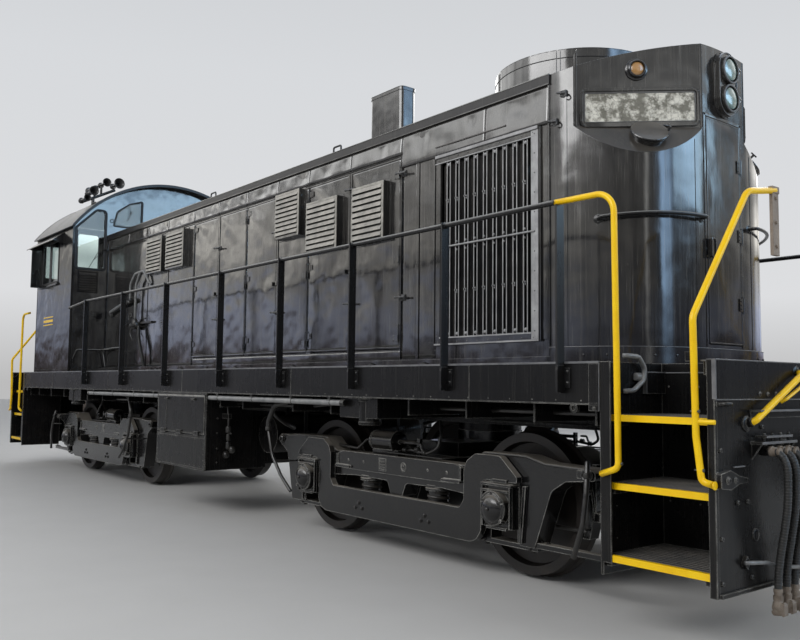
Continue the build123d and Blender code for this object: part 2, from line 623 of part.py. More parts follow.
with BuildPart() as nose_shell:
    add(nose_solid(0.0, 1640.0))
    add(nose_solid(SKIN, 1560.0), mode=Mode.SUBTRACT)
    # plinth under the nose, a little proud of it
    with BuildSketch(Plane.XY.offset(DECK_Z)) as plinth:
        with BuildLine():
            Line((NOSE_X0, -HOOD_Y - 14), (NOSE_X0, HOOD_Y + 14))
            RadiusArc((NOSE_X0, HOOD_Y + 14), (NOSE_X1 + 14, HOOD_Y - NOSE_R), NOSE_R + 14)
            Line((NOSE_X1 + 14, HOOD_Y - NOSE_R), (NOSE_X1 + 14, -(HOOD_Y - NOSE_R)))
            RadiusArc((NOSE_X1 + 14, -(HOOD_Y - NOSE_R)), (NOSE_X0, -HOOD_Y - 14), NOSE_R + 14)
        make_face()
        with BuildLine():
            Line((NOSE_X0 - 1, -HOOD_Y + 20), (NOSE_X0 - 1, HOOD_Y - 20))
            Line((NOSE_X0 - 1, HOOD_Y - 20), (NOSE_X0, HOOD_Y - 20))
            RadiusArc((NOSE_X0, HOOD_Y - 20), (NOSE_X1 - 20, HOOD_Y - NOSE_R), NOSE_R - 20)
            Line((NOSE_X1 - 20, HOOD_Y - NOSE_R), (NOSE_X1 - 20, -(HOOD_Y - NOSE_R)))
            RadiusArc((NOSE_X1 - 20, -(HOOD_Y - NOSE_R)), (NOSE_X0, -HOOD_Y + 20), NOSE_R - 20)
            Line((NOSE_X0, -HOOD_Y + 20), (NOSE_X0 - 1, -HOOD_Y + 20))
        make_face(mode=Mode.SUBTRACT)
    extrude(plinth.sketch, amount=120)
    # doorway in the middle of the nose
    block(NOSE_X1 - 40, NOSE_X1 + 10, -240, 195, 1668, 3248, mode=Mode.SUBTRACT)
nose_shell.part.label = "nose_shell"
export_step(nose_shell.part, "parts/nose_shell.step")

with BuildPart() as nose_door:
    block(NOSE_X1 - 8, NOSE_X1 + 4, -235, 190, 1673, 3243)
    block(NOSE_X1 + 3, NOSE_X1 + 30, -222, -190, 2280, 2380)
    # hinge barrels on their plates
    for z in (1960, 2450, 2950):
        rod_z(NOSE_X1 + 12, 200, 7, z - 45, z + 45)
        block(NOSE_X1 + 3, NOSE_X1 + 15, 150, 185, z - 45, z + 45)
        block(NOSE_X1 + 9, NOSE_X1 + 15, 150, 200, z - 45, z + 45)
nose_door.part.label = "nose_door"
export_step(nose_door.part, "parts/nose_door.step")

for side_name, q in SIDES:
    for name, xa, xb, edge, box in LEAVES:
        with BuildPart() as leaf:
            block(xa + LEAF_GAP, xb - LEAF_GAP, -LEAF_Y1, -LEAF_Y0, DOOR_Z0 + 9, DOOR_Z1 - 9)
            if box:
                louvre_box(*box, LEAF_Y1)
            # pull handle near the free edge
            xh = xb - 45 if edge == "low" else xa + 45
            block(xh - 12, xh + 12, -(LEAF_Y1 + 34), -(LEAF_Y1 - 1), 2380, 2420)
            # three hinge barrels on the hinge axis, each on its plate, inside the leaf's own edge
            pin_x, d = (xa + HINGE_IN, 1) if edge == "low" else (xb - HINGE_IN, -1)
            for zc in (1800.0, 2470.0, 3190.0):
                z = zc + (34 if edge == "low" else -34)
                rod_z(pin_x, -HINGE_Y, 8, z - 28, z + 28)
                xc, xd = sorted((pin_x + d * 1.0, pin_x + d * 46.0))
                block(xc, xd, -(HINGE_Y - 2), -(HINGE_Y - 8), z - 28, z + 28)
                xc, xd = sorted((pin_x + d * 22.0, pin_x + d * 46.0))
                block(xc, xd, -(HINGE_Y - 2), -(LEAF_Y1 - 1), z - 28, z + 28)
        with BuildPart() as hood_leaf:
            if q < 0:
                add(leaf.part)
            else:
                add(mirror(leaf.part, about=Plane.XZ, mode=Mode.PRIVATE))
        label = f"hood_door_{side_name}_{name}"
        hood_leaf.part.label = label
        export_step(hood_leaf.part, f"parts/{label}.step")

# ===========================================================================
# Cab
# ===========================================================================

# window openings.  Side: (x0, x1, z0, z1); end walls, right-hand half: (|y| outer, |y| inner, z0, z1)
SIDE_WINDOW = (-5090.0, -4262.0, 2865.0, 3540.0)
FRONT_WINDOW = [(-1475, 3032, 45), (-1048, 3032, 45), (-1048, 3925, 60), (-1190, 3925, 70), (-1475, 3640, 60)]
UPPER_WINDOW = [(-930, 3720, 20), (-500, 3720, 20), (-500, 4145, 25), (-700, 4075, 90), (-880, 3940, 90)]
REAR_DOOR_WINDOW = [(-932, 3235, 60), (-572, 3235, 60), (-572, 3835, 60), (-932, 3835, 60)]


def under_roof_tool():
    """Everything above the cab roof's inner face, as a private tool."""
    with BuildPart() as tool:
        block(CAB_X0 - 200, CAB_X1 + 200, -2200, 2200, 3300, 5200)
        with Locations(Location(((CAB_X0 + CAB_X1) / 2, 0, CAB_ROOF_CZ), (0, 90, 0))):
            Cylinder(CAB_ROOF_R - CAB_ROOF_T - 1, 4000, mode=Mode.SUBTRACT)
    return tool.part


with BuildPart() as cab_sides:
    for q in (-1, 1):
        ya, yb = sorted((q * (CAB_Y - WALL), q * CAB_Y))
        block(CAB_X0, CAB_X1, ya, yb, DECK_Z, 3700)
        x0, x1, z0, z1 = SIDE_WINDOW
        block(x0, x1, ya - 5, yb + 5, z0, z1, mode=Mode.SUBTRACT)
    add(under_roof_tool(), mode=Mode.SUBTRACT)
    for q in (-1, 1):
        # sloping awning over the side window, on two brackets
        slab(Plane.YZ.offset(-5390), [(q * 1523, 3588), (q * 1690, 3470), (q * 1690, 3482), (q * 1523, 3602)], 1370)
        for xb in (-5270, -4030):
            slab(Plane.YZ.offset(xb), [(q * 1523, 3590), (q * 1686, 3474), (q * 1523, 3430)], 8)
        # wind wing that stands out at the window's rear edge
        ya, yb = sorted((q * 1523, q * 1684))
        block(-5112, -5102, ya, yb, 2850, 3462)
        # window sill
        ya, yb = sorted((q * 1523, q * 1552))
        block(-5100, -4250, ya, yb, 2838, 2858)
cab_sides.part.label = "cab_sides"
export_step(cab_sides.part, "parts/cab_sides.step")

# cab doors: (y0, y1, z0, z1)
FRONT_DOOR = (1040.0, 1482.0, 1640.0, 3560.0)
REAR_DOOR = (-1080.0, -430.0, 1640.0, 3920.0)

with BuildPart() as cab_end_walls:
    inner = CAB_Y - WALL - 1
    block(CAB_X1 - WALL, CAB_X1 - 1, -inner, inner, DECK_Z, 4500)
    block(CAB_X0 + 1, CAB_X0 + WALL, -inner, inner, DECK_Z, 4500)
    add(under_roof_tool(), mode=Mode.SUBTRACT)
    for q in (-1, 1):
        for outline in (FRONT_WINDOW, UPPER_WINDOW):
            if q > 0 and outline is FRONT_WINDOW:
                continue
            rounded_slab(Plane.YZ.offset(CAB_X1 - WALL - 5), [(-q * y, z, r) for y, z, r in outline], 60,
                         mode=Mode.SUBTRACT)
    for outline in ([(-1420, 3030), (-1160, 3030), (-1160, 3560), (-1420, 3560)],
                    [(480, 3030), (1400, 3030), (1400, 3560), (480, 3560)],
                    [(-330, 3030), (330, 3030), (330, 3560), (-330, 3560)]):
        slab(Plane.YZ.offset(CAB_X0 - 5), outline, 60, mode=Mode.SUBTRACT)
    y0, y1, z0, z1 = FRONT_DOOR
    block(CAB_X1 - WALL - 5, CAB_X1 + 5, y0 - 5, y1 + 5, z0 - 5, z1 + 5, mode=Mode.SUBTRACT)
    y0, y1, z0, z1 = REAR_DOOR
    block(CAB_X0 - 5, CAB_X0 + WALL + 5, y0 - 5, y1 + 5, z0 - 5, z1 + 5, mode=Mode.SUBTRACT)
cab_end_walls.part.label = "cab_end_walls"
export_step(cab_end_walls.part, "parts/cab_end_walls.step")

with BuildPart() as cab_door_front:
    y0, y1, z0, z1 = FRONT_DOOR
    block(CAB_X1 - 26, CAB_X1 + 4, y0, y1, z0, z1)
    slab(Plane.YZ.offset(CAB_X1 - 40), [(y0 + 60, 2780), (y1 - 60, 2780), (y1 - 60, z1 - 80), (y0 + 60, z1 - 80)],
         60, mode=Mode.SUBTRACT)
    block(CAB_X1 + 3, CAB_X1 + 50, y1 - 60, y1 - 30, 2300, 2420)
    for z in (1850, 2500, 3400):
        rod_z(CAB_X1 + 12, y0 - 7, 7, z - 45, z + 45)
        block(CAB_X1 + 3, CAB_X1 + 14, y0 + 10, y0 + 50, z - 45, z + 45)
        block(CAB_X1 + 9, CAB_X1 + 14, y0 - 7, y0 + 50, z - 45, z + 45)
cab_door_front.part.label = "cab_door_front"
export_step(cab_door_front.part, "parts/cab_door_front.step")

with BuildPart() as cab_door_rear:
    y0, y1, z0, z1 = REAR_DOOR
    block(CAB_X0 - 4, CAB_X0 + 26, y0, y1, z0, z1)
    rounded_slab(Plane.YZ.offset(CAB_X0 - 30), REAR_DOOR_WINDOW, 60, mode=Mode.SUBTRACT)
    block(CAB_X0 - 50, CAB_X0 - 3, y1 - 70, y1 - 40, 2300, 2420)
    for z in (1850, 2700, 3700):
        rod_z(CAB_X0 - 12, y0 - 7, 7, z - 45, z + 45)
        block(CAB_X0 - 14, CAB_X0 - 3, y0 + 10, y0 + 50, z - 45, z + 45)
        block(CAB_X0 - 14, CAB_X0 - 9, y0 - 7, y0 + 50, z - 45, z + 45)
cab_door_rear.part.label = "cab_door_rear"
export_step(cab_door_rear.part, "parts/cab_door_rear.step")

with BuildPart() as cab_roof:
    with BuildSketch(Plane.YZ.offset(CAB_X0 - 120)) as arch:
        with Locations((0, CAB_ROOF_CZ)):
            Circle(CAB_ROOF_R)
            Circle(CAB_ROOF_R - CAB_ROOF_T, mode=Mode.SUBTRACT)
        with Locations((0, 4635)):
            Rectangle(2 * 1573, 2000, mode=Mode.INTERSECT)
    extrude(arch.sketch, amount=CAB_X1 + 120 - (CAB_X0 - 120))
cab_roof.part.label = "cab_roof"
export_step(cab_roof.part, "parts/cab_roof.step")

with BuildPart() as cab_floor:
    block(CAB_X0 + WALL + 2, CAB_X1 - WALL - 2, -(CAB_Y - WALL - 2), CAB_Y - WALL - 2, DECK_Z, CAB_FLOOR_Z)
    # control stand and two seats, fixed to the floor
    block(-4080, -3720, -1050, -620, CAB_FLOOR_Z - 1, 2650)
    for q in (-1, 1):
        rod_z(-4620, q * 1120, 45, CAB_FLOOR_Z - 1, 2120)
        block(-4840, -4400, q * 1120 - 220, q * 1120 + 220, 2110, 2200)
        block(-4860, -4790, q * 1120 - 210, q * 1120 + 210, 2190, 2720)
cab_floor.part.label = "cab_floor_and_seats"
export_step(cab_floor.part, "parts/cab_floor_and_seats.step")

with BuildPart() as cab_glass:
    x0, x1, z0, z1 = SIDE_WINDOW
    for q in (-1, 1):
        ya, yb = sorted((q * 1502, q * 1510))
        block(x0 + 1, x1 - 1, ya, yb, z0 + 1, z1 - 1)
    # panes in the front wall, a little smaller than their openings
    for outline in (FRONT_WINDOW, UPPER_WINDOW, [(-y, z, r) for y, z, r in UPPER_WINDOW]):
        # a little smaller than the opening about its middle
        my = sum(y for y, z, r in outline) / len(outline)
        mz = sum(z for y, z, r in outline) / len(outline)
        inner = [(my + (y - my) * 0.99, mz + (z - mz) * 0.99, r * 0.99) for y, z, r in outline]
        rounded_slab(Plane.YZ.offset(CAB_X1 - 20), inner, 8)
    for y0, y1 in ((-1419, -1161), (481, 1399), (-329, 329)):
        block(CAB_X0 + 12, CAB_X0 + 20, y0, y1, 3031, 3559)
cab_glass.part.label = "cab_glass"
export_step(cab_glass.part, "parts/cab_glass.step")

# ===========================================================================
# Rails, lamps, horn
# ===========================================================================

POSTS = [-2806.0, -1441.0, -142.0, 1194.0, 2352.0, 3450.0, 4546.0, 5573.0]

with BuildPart() as side_handrails:
    for q in (-1, 1):
        for x in POSTS:
            ya, yb = sorted((q * POST_Y0, q * POST_Y1))
            block(x - 7, x + 7, ya, yb, 1340, RAIL_Z + 18 if x < 5500 else RAIL_Z - 20)
        tube([(-3516, q * RAIL_Y, 2432), (-2806, q * RAIL_Y, RAIL_Z), (5539, q * RAIL_Y, RAIL_Z)], [400], RAIL_TUBE_R)
side_handrails.part.label = "side_handrails"
export_step(side_handrails.part, "parts/side_handrails.step")

END_RAIL_R = 18.0

with BuildPart() as end_handrails:
    for s in (-1, 1):
        for q in (-1, 1):
            # step rail beside the hood's end, carrying on from the walkway rail
            tube([(s * 5541, q * 1558, 2480), (s * 5960, q * 1550, 2478), (s * 5976, q * 1550, 930),
                  (s * 5853, q * 1542, 888)], [120, 45], END_RAIL_R)
            # rail on the end platform's corner, sloping in to the coupler gap
            tube([(s * 6548, q * 1544, 890), (s * 6482, q * 1552, 905), (s * 6454, q * 1552, 1130), (s * 6454, q * 1566, 1740),
                  (s * 6470, q * 1030, 2470), (s * 6470, q * 722, 2520)], [34, 200, 90, 110], END_RAIL_R)
            # flat bar that hangs from that rail's inner end
            ya, yb = sorted((q * 700, q * 764))
            block(*sorted((s * 6463, s * 6477)), ya, yb, 2140, 2530)
            # grab iron on the end plate
            tube([(s * 6548, q * 1222, 1190), (s * 6592, q * 1222, 1205), (s * 6592, q * 700, 1455), (s * 6560, q * 680, 1466)],
                 [24, 24], END_RAIL_R)
end_handrails.part.label = "end_handrails"
export_step(end_handrails.part, "parts/end_handrails.step")

with BuildPart() as lamps:
    # twin headlight housing on the nose and a like one on the cab's rear wall
    for x_face, s in ((NOSE_X1, 1.0), (CAB_X0, -1.0)):
        z_mid = 3512.0 if s > 0 else 3830.0
        xa = x_face + s * 1
        with BuildSketch(Plane.YZ.offset(xa)) as housing:
            with Locations((0, z_mid)):
                SlotOverall(450, 225, rotation=90)
        extrude(housing.sketch, amount=s * 40)
        for dz in (-103, 103):
            rod_x(0, z_mid - 4 + dz, 92, xa + s * 35, xa + s * 58)
lamps.part.label = "lamps"
export_step(lamps.part, "parts/lamps.step")

HORN_X = -4000.0
# the five bells of the horn: (y, z, which way it faces, mouth radius)
BELLS = [(-820, 4412, 1, 82), (-1010, 4398, 1, 66), (-1110, 4330, -1, 62), (-1200, 4240, 1, 72), (-1292, 4120, 1, 54)]

with BuildPart() as horn:
    # a foot on the roof, and a sloping bar that the bells stand off
    rod_z(HORN_X, -1130, 26, 4020, 4215)
    tube([(HORN_X, -800, 4352), (HORN_X, -1290, 4098)], [], 24)
    for y, z, d, r in BELLS:
        foot = 4352 - (-800 - y) * 254.0 / 490.0
        if z - foot > 10:
            rod_z(HORN_X, y, 16, foot, z)
        rod_x(y, z, 24, HORN_X - d * 70, HORN_X + d * 150)
        with Locations(Location((HORN_X + d * 190, y, z), (0, d * 90, 0))):
            Cone(24, r, 110)
    with Locations(Location(((CAB_X0 + CAB_X1) / 2, 0, CAB_ROOF_CZ), (0, 90, 0))):
        Cylinder(CAB_ROOF_R + 1, 4000, mode=Mode.SUBTRACT)
horn.part.label = "horn"
export_step(horn.part, "parts/horn.step")

# ===========================================================================
# Air hoses at the front right-hand corner, hanging free
# ===========================================================================

HOSES = [("air_hose_1", -1085.0), ("air_hose_2", -995.0), ("air_hose_3", -905.0)]
HOSE_R = 19.0

for label, y in HOSES:
    with BuildPart() as hose:
        pts = [(6600, y, 1045), (6690, y, 1045), (6688, y, 800), (6668, y, 660), (6640, y, 515), (6622, y, 385), (6622, y, 295)]
        runs = [math.dist(a, b) for a, b in zip(pts, pts[1:])]
        runs[1] -= 90.0
        radii = [86.0]
        for i in range(2, len(pts) - 1):
            u = Vector(*pts[i]) - Vector(*pts[i - 1])
            v = Vector(*pts[i + 1]) - Vector(*pts[i])
            turn = math.radians(u.get_angle(v))
            radii.append(0.45 * min(runs[i - 1], runs[i]) / math.tan(turn / 2))
        print(label, "bend radii", [round(r) for r in radii])
        tube(pts, radii, HOSE_R)
    hose.part.label = label
    export_step(hose.part, f"parts/{label}.step")

with BuildPart() as hose_couplings:
    for label, y in HOSES:
        block(6585, 6665, y - 20, y + 20, 200, 295)
hose_couplings.part.label = "hose_couplings"
export_step(hose_couplings.part, "parts/hose_couplings.step")
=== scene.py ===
import bpy, bmesh, math, random
from mathutils import Vector, Matrix, Euler, noise


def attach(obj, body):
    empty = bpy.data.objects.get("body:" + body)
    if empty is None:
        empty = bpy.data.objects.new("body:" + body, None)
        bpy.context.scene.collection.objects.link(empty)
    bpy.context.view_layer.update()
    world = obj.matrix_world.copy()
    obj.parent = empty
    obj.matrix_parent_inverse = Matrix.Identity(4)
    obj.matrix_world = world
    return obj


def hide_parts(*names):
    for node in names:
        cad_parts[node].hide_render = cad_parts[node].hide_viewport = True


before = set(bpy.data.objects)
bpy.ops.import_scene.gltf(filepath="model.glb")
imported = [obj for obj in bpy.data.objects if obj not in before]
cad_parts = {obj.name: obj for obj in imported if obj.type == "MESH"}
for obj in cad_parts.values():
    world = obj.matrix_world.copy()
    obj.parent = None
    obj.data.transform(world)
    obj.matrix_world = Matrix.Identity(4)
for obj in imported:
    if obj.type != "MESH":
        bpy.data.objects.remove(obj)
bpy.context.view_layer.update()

rng = random.Random(7)
S = bpy.context.scene
COL = S.collection
S.view_settings.view_transform = "Standard"


# ---------------------------------------------------------------------------
# Camera at the photograph's view, floor and studio light
# ---------------------------------------------------------------------------
def make_camera():
    yaw, pitch, roll = math.radians(38.82), math.radians(4.42), math.radians(0.59)
    fw = Vector((-math.cos(yaw) * math.cos(pitch), math.sin(yaw) * math.cos(pitch), math.sin(pitch)))
    r = Vector((math.sin(yaw), math.cos(yaw), 0.0))
    up = r.cross(fw)
    r2 = math.cos(roll) * r + math.sin(roll) * up
    u2 = -math.sin(roll) * r + math.cos(roll) * up
    cam = bpy.data.cameras.new("camera")
    cam.sensor_fit = "HORIZONTAL"
    cam.sensor_width = 36.0
    cam.lens = 841.8 / 800.0 * 36.0
    cam.clip_start, cam.clip_end = 0.05, 400.0
    ob = bpy.data.objects.new("camera", cam)
    COL.objects.link(ob)
    m = Matrix.Identity(4)
    for i in range(3):
        m[i][0], m[i][1], m[i][2] = r2[i], u2[i], -fw[i]
    m[0][3], m[1][3], m[2][3] = 8.859, -5.421, 1.373
    ob.matrix_world = m
    S.camera = ob
    return ob


camera = make_camera()


def new_mat(name):
    m = bpy.data.materials.new(name)
    m.use_nodes = True
    nt = m.node_tree
    nt.nodes.clear()
    out = nt.nodes.new("ShaderNodeOutputMaterial")
    b = nt.nodes.new("ShaderNodeBsdfPrincipled")
    nt.links.new(b.outputs[0], out.inputs[0])
    return m, nt, b


def node(nt, kind, **kw):
    n = nt.nodes.new(kind)
    for k, v in kw.items():
        if k.startswith("i_"):
            n.inputs[k[2:].replace("_", " ")].default_value = v
        else:
            setattr(n, k, v)
    return n


def ramp(nt, fac, stops, interp="LINEAR"):
    n = nt.nodes.new("ShaderNodeValToRGB")
    n.color_ramp.interpolation = interp
    el = n.color_ramp.elements
    while len(el) > 1:
        el.remove(el[-1])
    el[0].position, el[0].color = stops[0][0], stops[0][1]
    for p, c in stops[1:]:
        e = el.new(p)
        e.color = c
    nt.links.new(fac, n.inputs[0])
    return n.outputs[0]


def grey(v):
    return (v, v, v, 1.0)


def mix(nt, fac, a, b, blend="MIX"):
    n = nt.nodes.new("ShaderNodeMix")
    n.data_type = "RGBA"
    n.blend_type = blend
    for sock, val in ((n.inputs[0], fac), (n.inputs[6], a), (n.inputs[7], b)):
        if hasattr(val, "is_linked"):
            nt.links.new(val, sock)
        else:
            sock.default_value = val
    return n.outputs[2]


def noise_tex(nt, coord, scale, detail=4.0, rough=0.55, stretch=(1, 1, 1), distort=0.0):
    mp = nt.nodes.new("ShaderNodeMapping")
    mp.inputs["Scale"].default_value = stretch
    nt.links.new(coord, mp.inputs["Vector"])
    n = nt.nodes.new("ShaderNodeTexNoise")
    n.inputs["Scale"].default_value = scale
    n.inputs["Detail"].default_value = detail
    n.inputs["Roughness"].default_value = rough
    n.inputs["Distortion"].default_value = distort
    nt.links.new(mp.outputs[0], n.inputs["Vector"])
    return n.outputs[0]


def math_n(nt, op, a, b=0.0, clamp=False):
    n = nt.nodes.new("ShaderNodeMath")
    n.operation = op
    n.use_clamp = clamp
    for sock, val in ((n.inputs[0], a), (n.inputs[1], b)):
        if hasattr(val, "is_linked"):
            nt.links.new(val, sock)
        else:
            sock.default_value = val
    return n.outputs[0]


def bump(nt, height, strength, distance, normal=None):
    n = nt.nodes.new("ShaderNodeBump")
    n.inputs["Strength"].default_value = strength
    n.inputs["Distance"].default_value = distance
    nt.links.new(height, n.inputs["Height"])
    if normal is not None:
        nt.links.new(normal, n.inputs["Normal"])
    return n.outputs[0]


def coords(nt):
    return nt.nodes.new("ShaderNodeTexCoord").outputs["Object"]


def up_mask(nt, lo=0.35, hi=0.85):
    """0 on walls, 1 on upward faces."""
    g = nt.nodes.new("ShaderNodeNewGeometry")
    s = nt.nodes.new("ShaderNodeSeparateXYZ")
    nt.links.new(g.outputs["Normal"], s.inputs[0])
    m = nt.nodes.new("ShaderNodeMapRange")
    m.inputs[1].default_value, m.inputs[2].default_value = lo, hi
    nt.links.new(s.outputs[2], m.inputs[0])
    return m.outputs[0]


def height_mask(nt, z0, z1):
    """1 below z0, falling to 0 at z1 (object space z)."""
    c = coords(nt)
    s = nt.nodes.new("ShaderNodeSeparateXYZ")
    nt.links.new(c, s.inputs[0])
    m = nt.nodes.new("ShaderNodeMapRange")
    m.inputs[1].default_value, m.inputs[2].default_value = z0, z1
    m.inputs[3].default_value, m.inputs[4].default_value = 1.0, 0.0
    nt.links.new(s.outputs[2], m.inputs[0])
    return m.outputs[0]


def gloss_black(name, base=0.006, rough=0.16, wave=0.6, dust=0.35, streak=0.5, low_dirt=0.0, spec=0.5, coat=0.3, lighter_top=None,
                dust_from=0.35, cast=0.0, edge=0.0, dust_col=(0.15, 0.135, 0.115)):
    """Old gloss black: bluish where it is clean, chalky and streaked down the walls, dusty on what faces up."""
    m, nt, b = new_mat(name)
    c = coords(nt)
    big = noise_tex(nt, c, 1.1, 3.0)
    col = mix(nt, ramp(nt, big, [(0.35, grey(0)), (0.75, grey(1))]), (base, base * 1.02, base * 1.15, 1), (base * 2.2, base * 2.1, base * 2.1, 1))
    # rain streaks: fine vertical runs, in fields that come and go
    fine = noise_tex(nt, c, 9.0, 6.0, 0.62, (6.0, 6.0, 0.16))
    broad = noise_tex(nt, c, 2.4, 4.0, 0.55, (3.0, 3.0, 0.30))
    sm = math_n(nt, "MULTIPLY", ramp(nt, fine, [(0.50, grey(0)), (0.66, grey(1))]), ramp(nt, broad, [(0.36, grey(0.12)), (0.66, grey(1))]))
    sm = math_n(nt, "MULTIPLY", sm, streak)
    col = mix(nt, sm, col, (0.050, 0.046, 0.040, 1))
    # thin pale drips
    drip = ramp(nt, noise_tex(nt, c, 26.0, 5.0, 0.6, (6.0, 6.0, 0.10)), [(0.60, grey(0)), (0.70, grey(1))])
    dr = math_n(nt, "MULTIPLY", drip, streak * 0.7)
    col = mix(nt, dr, col, (0.13, 0.125, 0.115, 1))
    if lighter_top:
        # the walls turn a lighter grey towards the top, in clouds
        z = height_mask(nt, lighter_top[0], lighter_top[1])
        inv = math_n(nt, "SUBTRACT", 1.0, z, True)
        fm = math_n(nt, "MULTIPLY", inv, ramp(nt, noise_tex(nt, c, 3.2, 7.0, 0.62, (1.0, 1.0, 0.7)), [(0.32, grey(0.15)), (0.68, grey(1))]))
        fm = math_n(nt, "MULTIPLY", fm, lighter_top[2])
        col = mix(nt, fm, col, (0.155, 0.150, 0.140, 1))
    um = math_n(nt, "MULTIPLY", up_mask(nt, dust_from, min(0.9, dust_from + 0.5)), ramp(nt, noise_tex(nt, c, 3.0, 6.0), [(0.3, grey(0.45)), (0.7, grey(1))]))
    dm = math_n(nt, "MULTIPLY", um, dust)
    col = mix(nt, dm, col, (*dust_col, 1))
    if low_dirt:
        lm = math_n(nt, "MULTIPLY", height_mask(nt, 0.3, 1.5), ramp(nt, noise_tex(nt, c, 7.0, 8.0), [(0.40, grey(0.0)), (0.72, grey(1))]))
        lm = math_n(nt, "MULTIPLY", lm, low_dirt)
        col = mix(nt, lm, col, (0.085, 0.070, 0.055, 1))
    # small chips
    chip = ramp(nt, noise_tex(nt, c, 38.0, 9.0, 0.7), [(0.70, grey(0)), (0.735, grey(1))])
    ch = math_n(nt, "MULTIPLY", chip, 0.3)
    col = mix(nt, ch, col, (0.16, 0.15, 0.135, 1))
    if edge:
        # painted highlight: the corners are painted a pale grey, in patches, to stand in for the shine along them
        bv = nt.nodes.new("ShaderNodeBevel")
        bv.samples = 4
        bv.inputs["Radius"].default_value = 0.011
        ge = nt.nodes.new("ShaderNodeNewGeometry")
        dp = nt.nodes.new("ShaderNodeVectorMath")
        dp.operation = "DOT_PRODUCT"
        nt.links.new(bv.outputs[0], dp.inputs[0])
        nt.links.new(ge.outputs["True Normal"], dp.inputs[1])
        edge_highlight_mask = ramp(nt, dp.outputs["Value"], [(0.70, grey(1)), (0.975, grey(0))])
        edge_highlight_mask = math_n(nt, "MULTIPLY", edge_highlight_mask, ramp(nt, noise_tex(nt, c, 8.0, 6.0, 0.6), [(0.35, grey(0.25)), (0.6, grey(1))]))
        edge_highlight_mask = math_n(nt, "MULTIPLY", edge_highlight_mask, edge)
        col = mix(nt, edge_highlight_mask, col, (0.55, 0.54, 0.50, 1))
    nt.links.new(col, b.inputs["Base Color"])
    r = mix(nt, sm, grey(rough), grey(min(0.5, rough + 0.16)))
    r = mix(nt, dm, r, grey(0.85))
    r = mix(nt, ramp(nt, noise_tex(nt, c, 2.3, 7.0, 0.65), [(0.42, grey(0)), (0.8, grey(0.22))]), r, grey(0.5))
    nt.links.new(r, b.inputs["Roughness"])
    b.inputs["Specular IOR Level"].default_value = spec
    if coat:
        b.inputs["Coat Weight"].default_value = coat
        b.inputs["Coat Roughness"].default_value = 0.10
    n1 = bump(nt, noise_tex(nt, c, 2.6, 2.0, 0.5), 0.35 * wave, 0.03)
    n2 = bump(nt, noise_tex(nt, c, 14.0, 3.0, 0.55, (1.0, 1.0, 0.5)), 0.12 * wave, 0.004, n1)
    n3 = bump(nt, noise_tex(nt, c, 60.0, 3.0), 0.05, 0.002, n2)
    if cast:
        # the grain of a casting under thick paint
        n3 = bump(nt, noise_tex(nt, c, 34.0, 5.0, 0.6), cast, 0.004, n3)
    nt.links.new(n3, b.inputs["Normal"])
    return m


MAT = {}
MAT["hood"] = gloss_black("paint_hood", 0.005, rough=0.12, wave=2.1, streak=0.75, spec=0.75, coat=0.6, lighter_top=(2.7, 3.5, 0.35))
MAT["nose"] = gloss_black("paint_nose", 0.005, rough=0.12, wave=1.1, streak=0.75, spec=0.65, coat=0.45, dust=0.85, dust_from=0.3)
MAT["cab"] = gloss_black("paint_cab", 0.007, rough=0.13, wave=1.4, streak=0.6, spec=0.30, coat=0.0)
MAT["cab_front"] = gloss_black("paint_cab_front", 0.007, rough=0.10, wave=1.8, streak=0.5, spec=0.9, coat=0.9)
MAT["roof"] = gloss_black("paint_roof", 0.012, rough=0.34, wave=0.5, dust=0.32, spec=0.36, coat=0.0)
# frame and truck: edge= paints a pale highlight along their corners
MAT["frame"] = gloss_black("paint_frame", 0.003, rough=0.26, wave=0.25, dust=0.30, low_dirt=0.06, streak=0.16, spec=0.24, coat=0.0, cast=0.08, edge=0.55)
MAT["truck"] = gloss_black("paint_truck", 0.003, rough=0.14, wave=0.25, dust=0.8, streak=0.06, low_dirt=0.04, spec=0.38, coat=0.3, cast=0.5, edge=1.0, dust_col=(0.27, 0.245, 0.21))
# the rail's upward faces turn a light grey: dust, and a painted highlight along the top of the rail
MAT["rail"] = gloss_black("paint_rail", 0.005, rough=0.26, wave=0.0, dust=0.9, dust_from=0.2, streak=0.10, spec=0.40, coat=0.0, dust_col=(0.30, 0.30, 0.29))


def yellow_paint(name):
    m, nt, b = new_mat(name)
    c = coords(nt)
    n1 = noise_tex(nt, c, 9.0, 6.0, 0.6)
    col = mix(nt, ramp(nt, n1, [(0.3, grey(0)), (0.75, grey(1))]), (0.84, 0.50, 0.004, 1), (0.93, 0.62, 0.008, 1))
    spots = ramp(nt, noise_tex(nt, c, 45.0, 8.0, 0.75), [(0.60, grey(0)), (0.70, grey(1))])
    col = mix(nt, math_n(nt, "MULTIPLY", spots, 0.35), col, (0.30, 0.16, 0.02, 1))
    worn = math_n(nt, "MULTIPLY", up_mask(nt, 0.7, 0.95), ramp(nt, noise_tex(nt, c, 13.0, 8.0, 0.7), [(0.48, grey(0)), (0.60, grey(0.6))]))
    col = mix(nt, worn, col, (0.22, 0.13, 0.05, 1))
    nt.links.new(col, b.inputs["Base Color"])
    b.inputs["Roughness"].default_value = 0.34
    b.inputs["Specular IOR Level"].default_value = 0.3
    nt.links.new(bump(nt, noise_tex(nt, c, 30.0, 4.0), 0.15, 0.003), b.inputs["Normal"])
    return m


MAT["yellow"] = yellow_paint("paint_yellow")


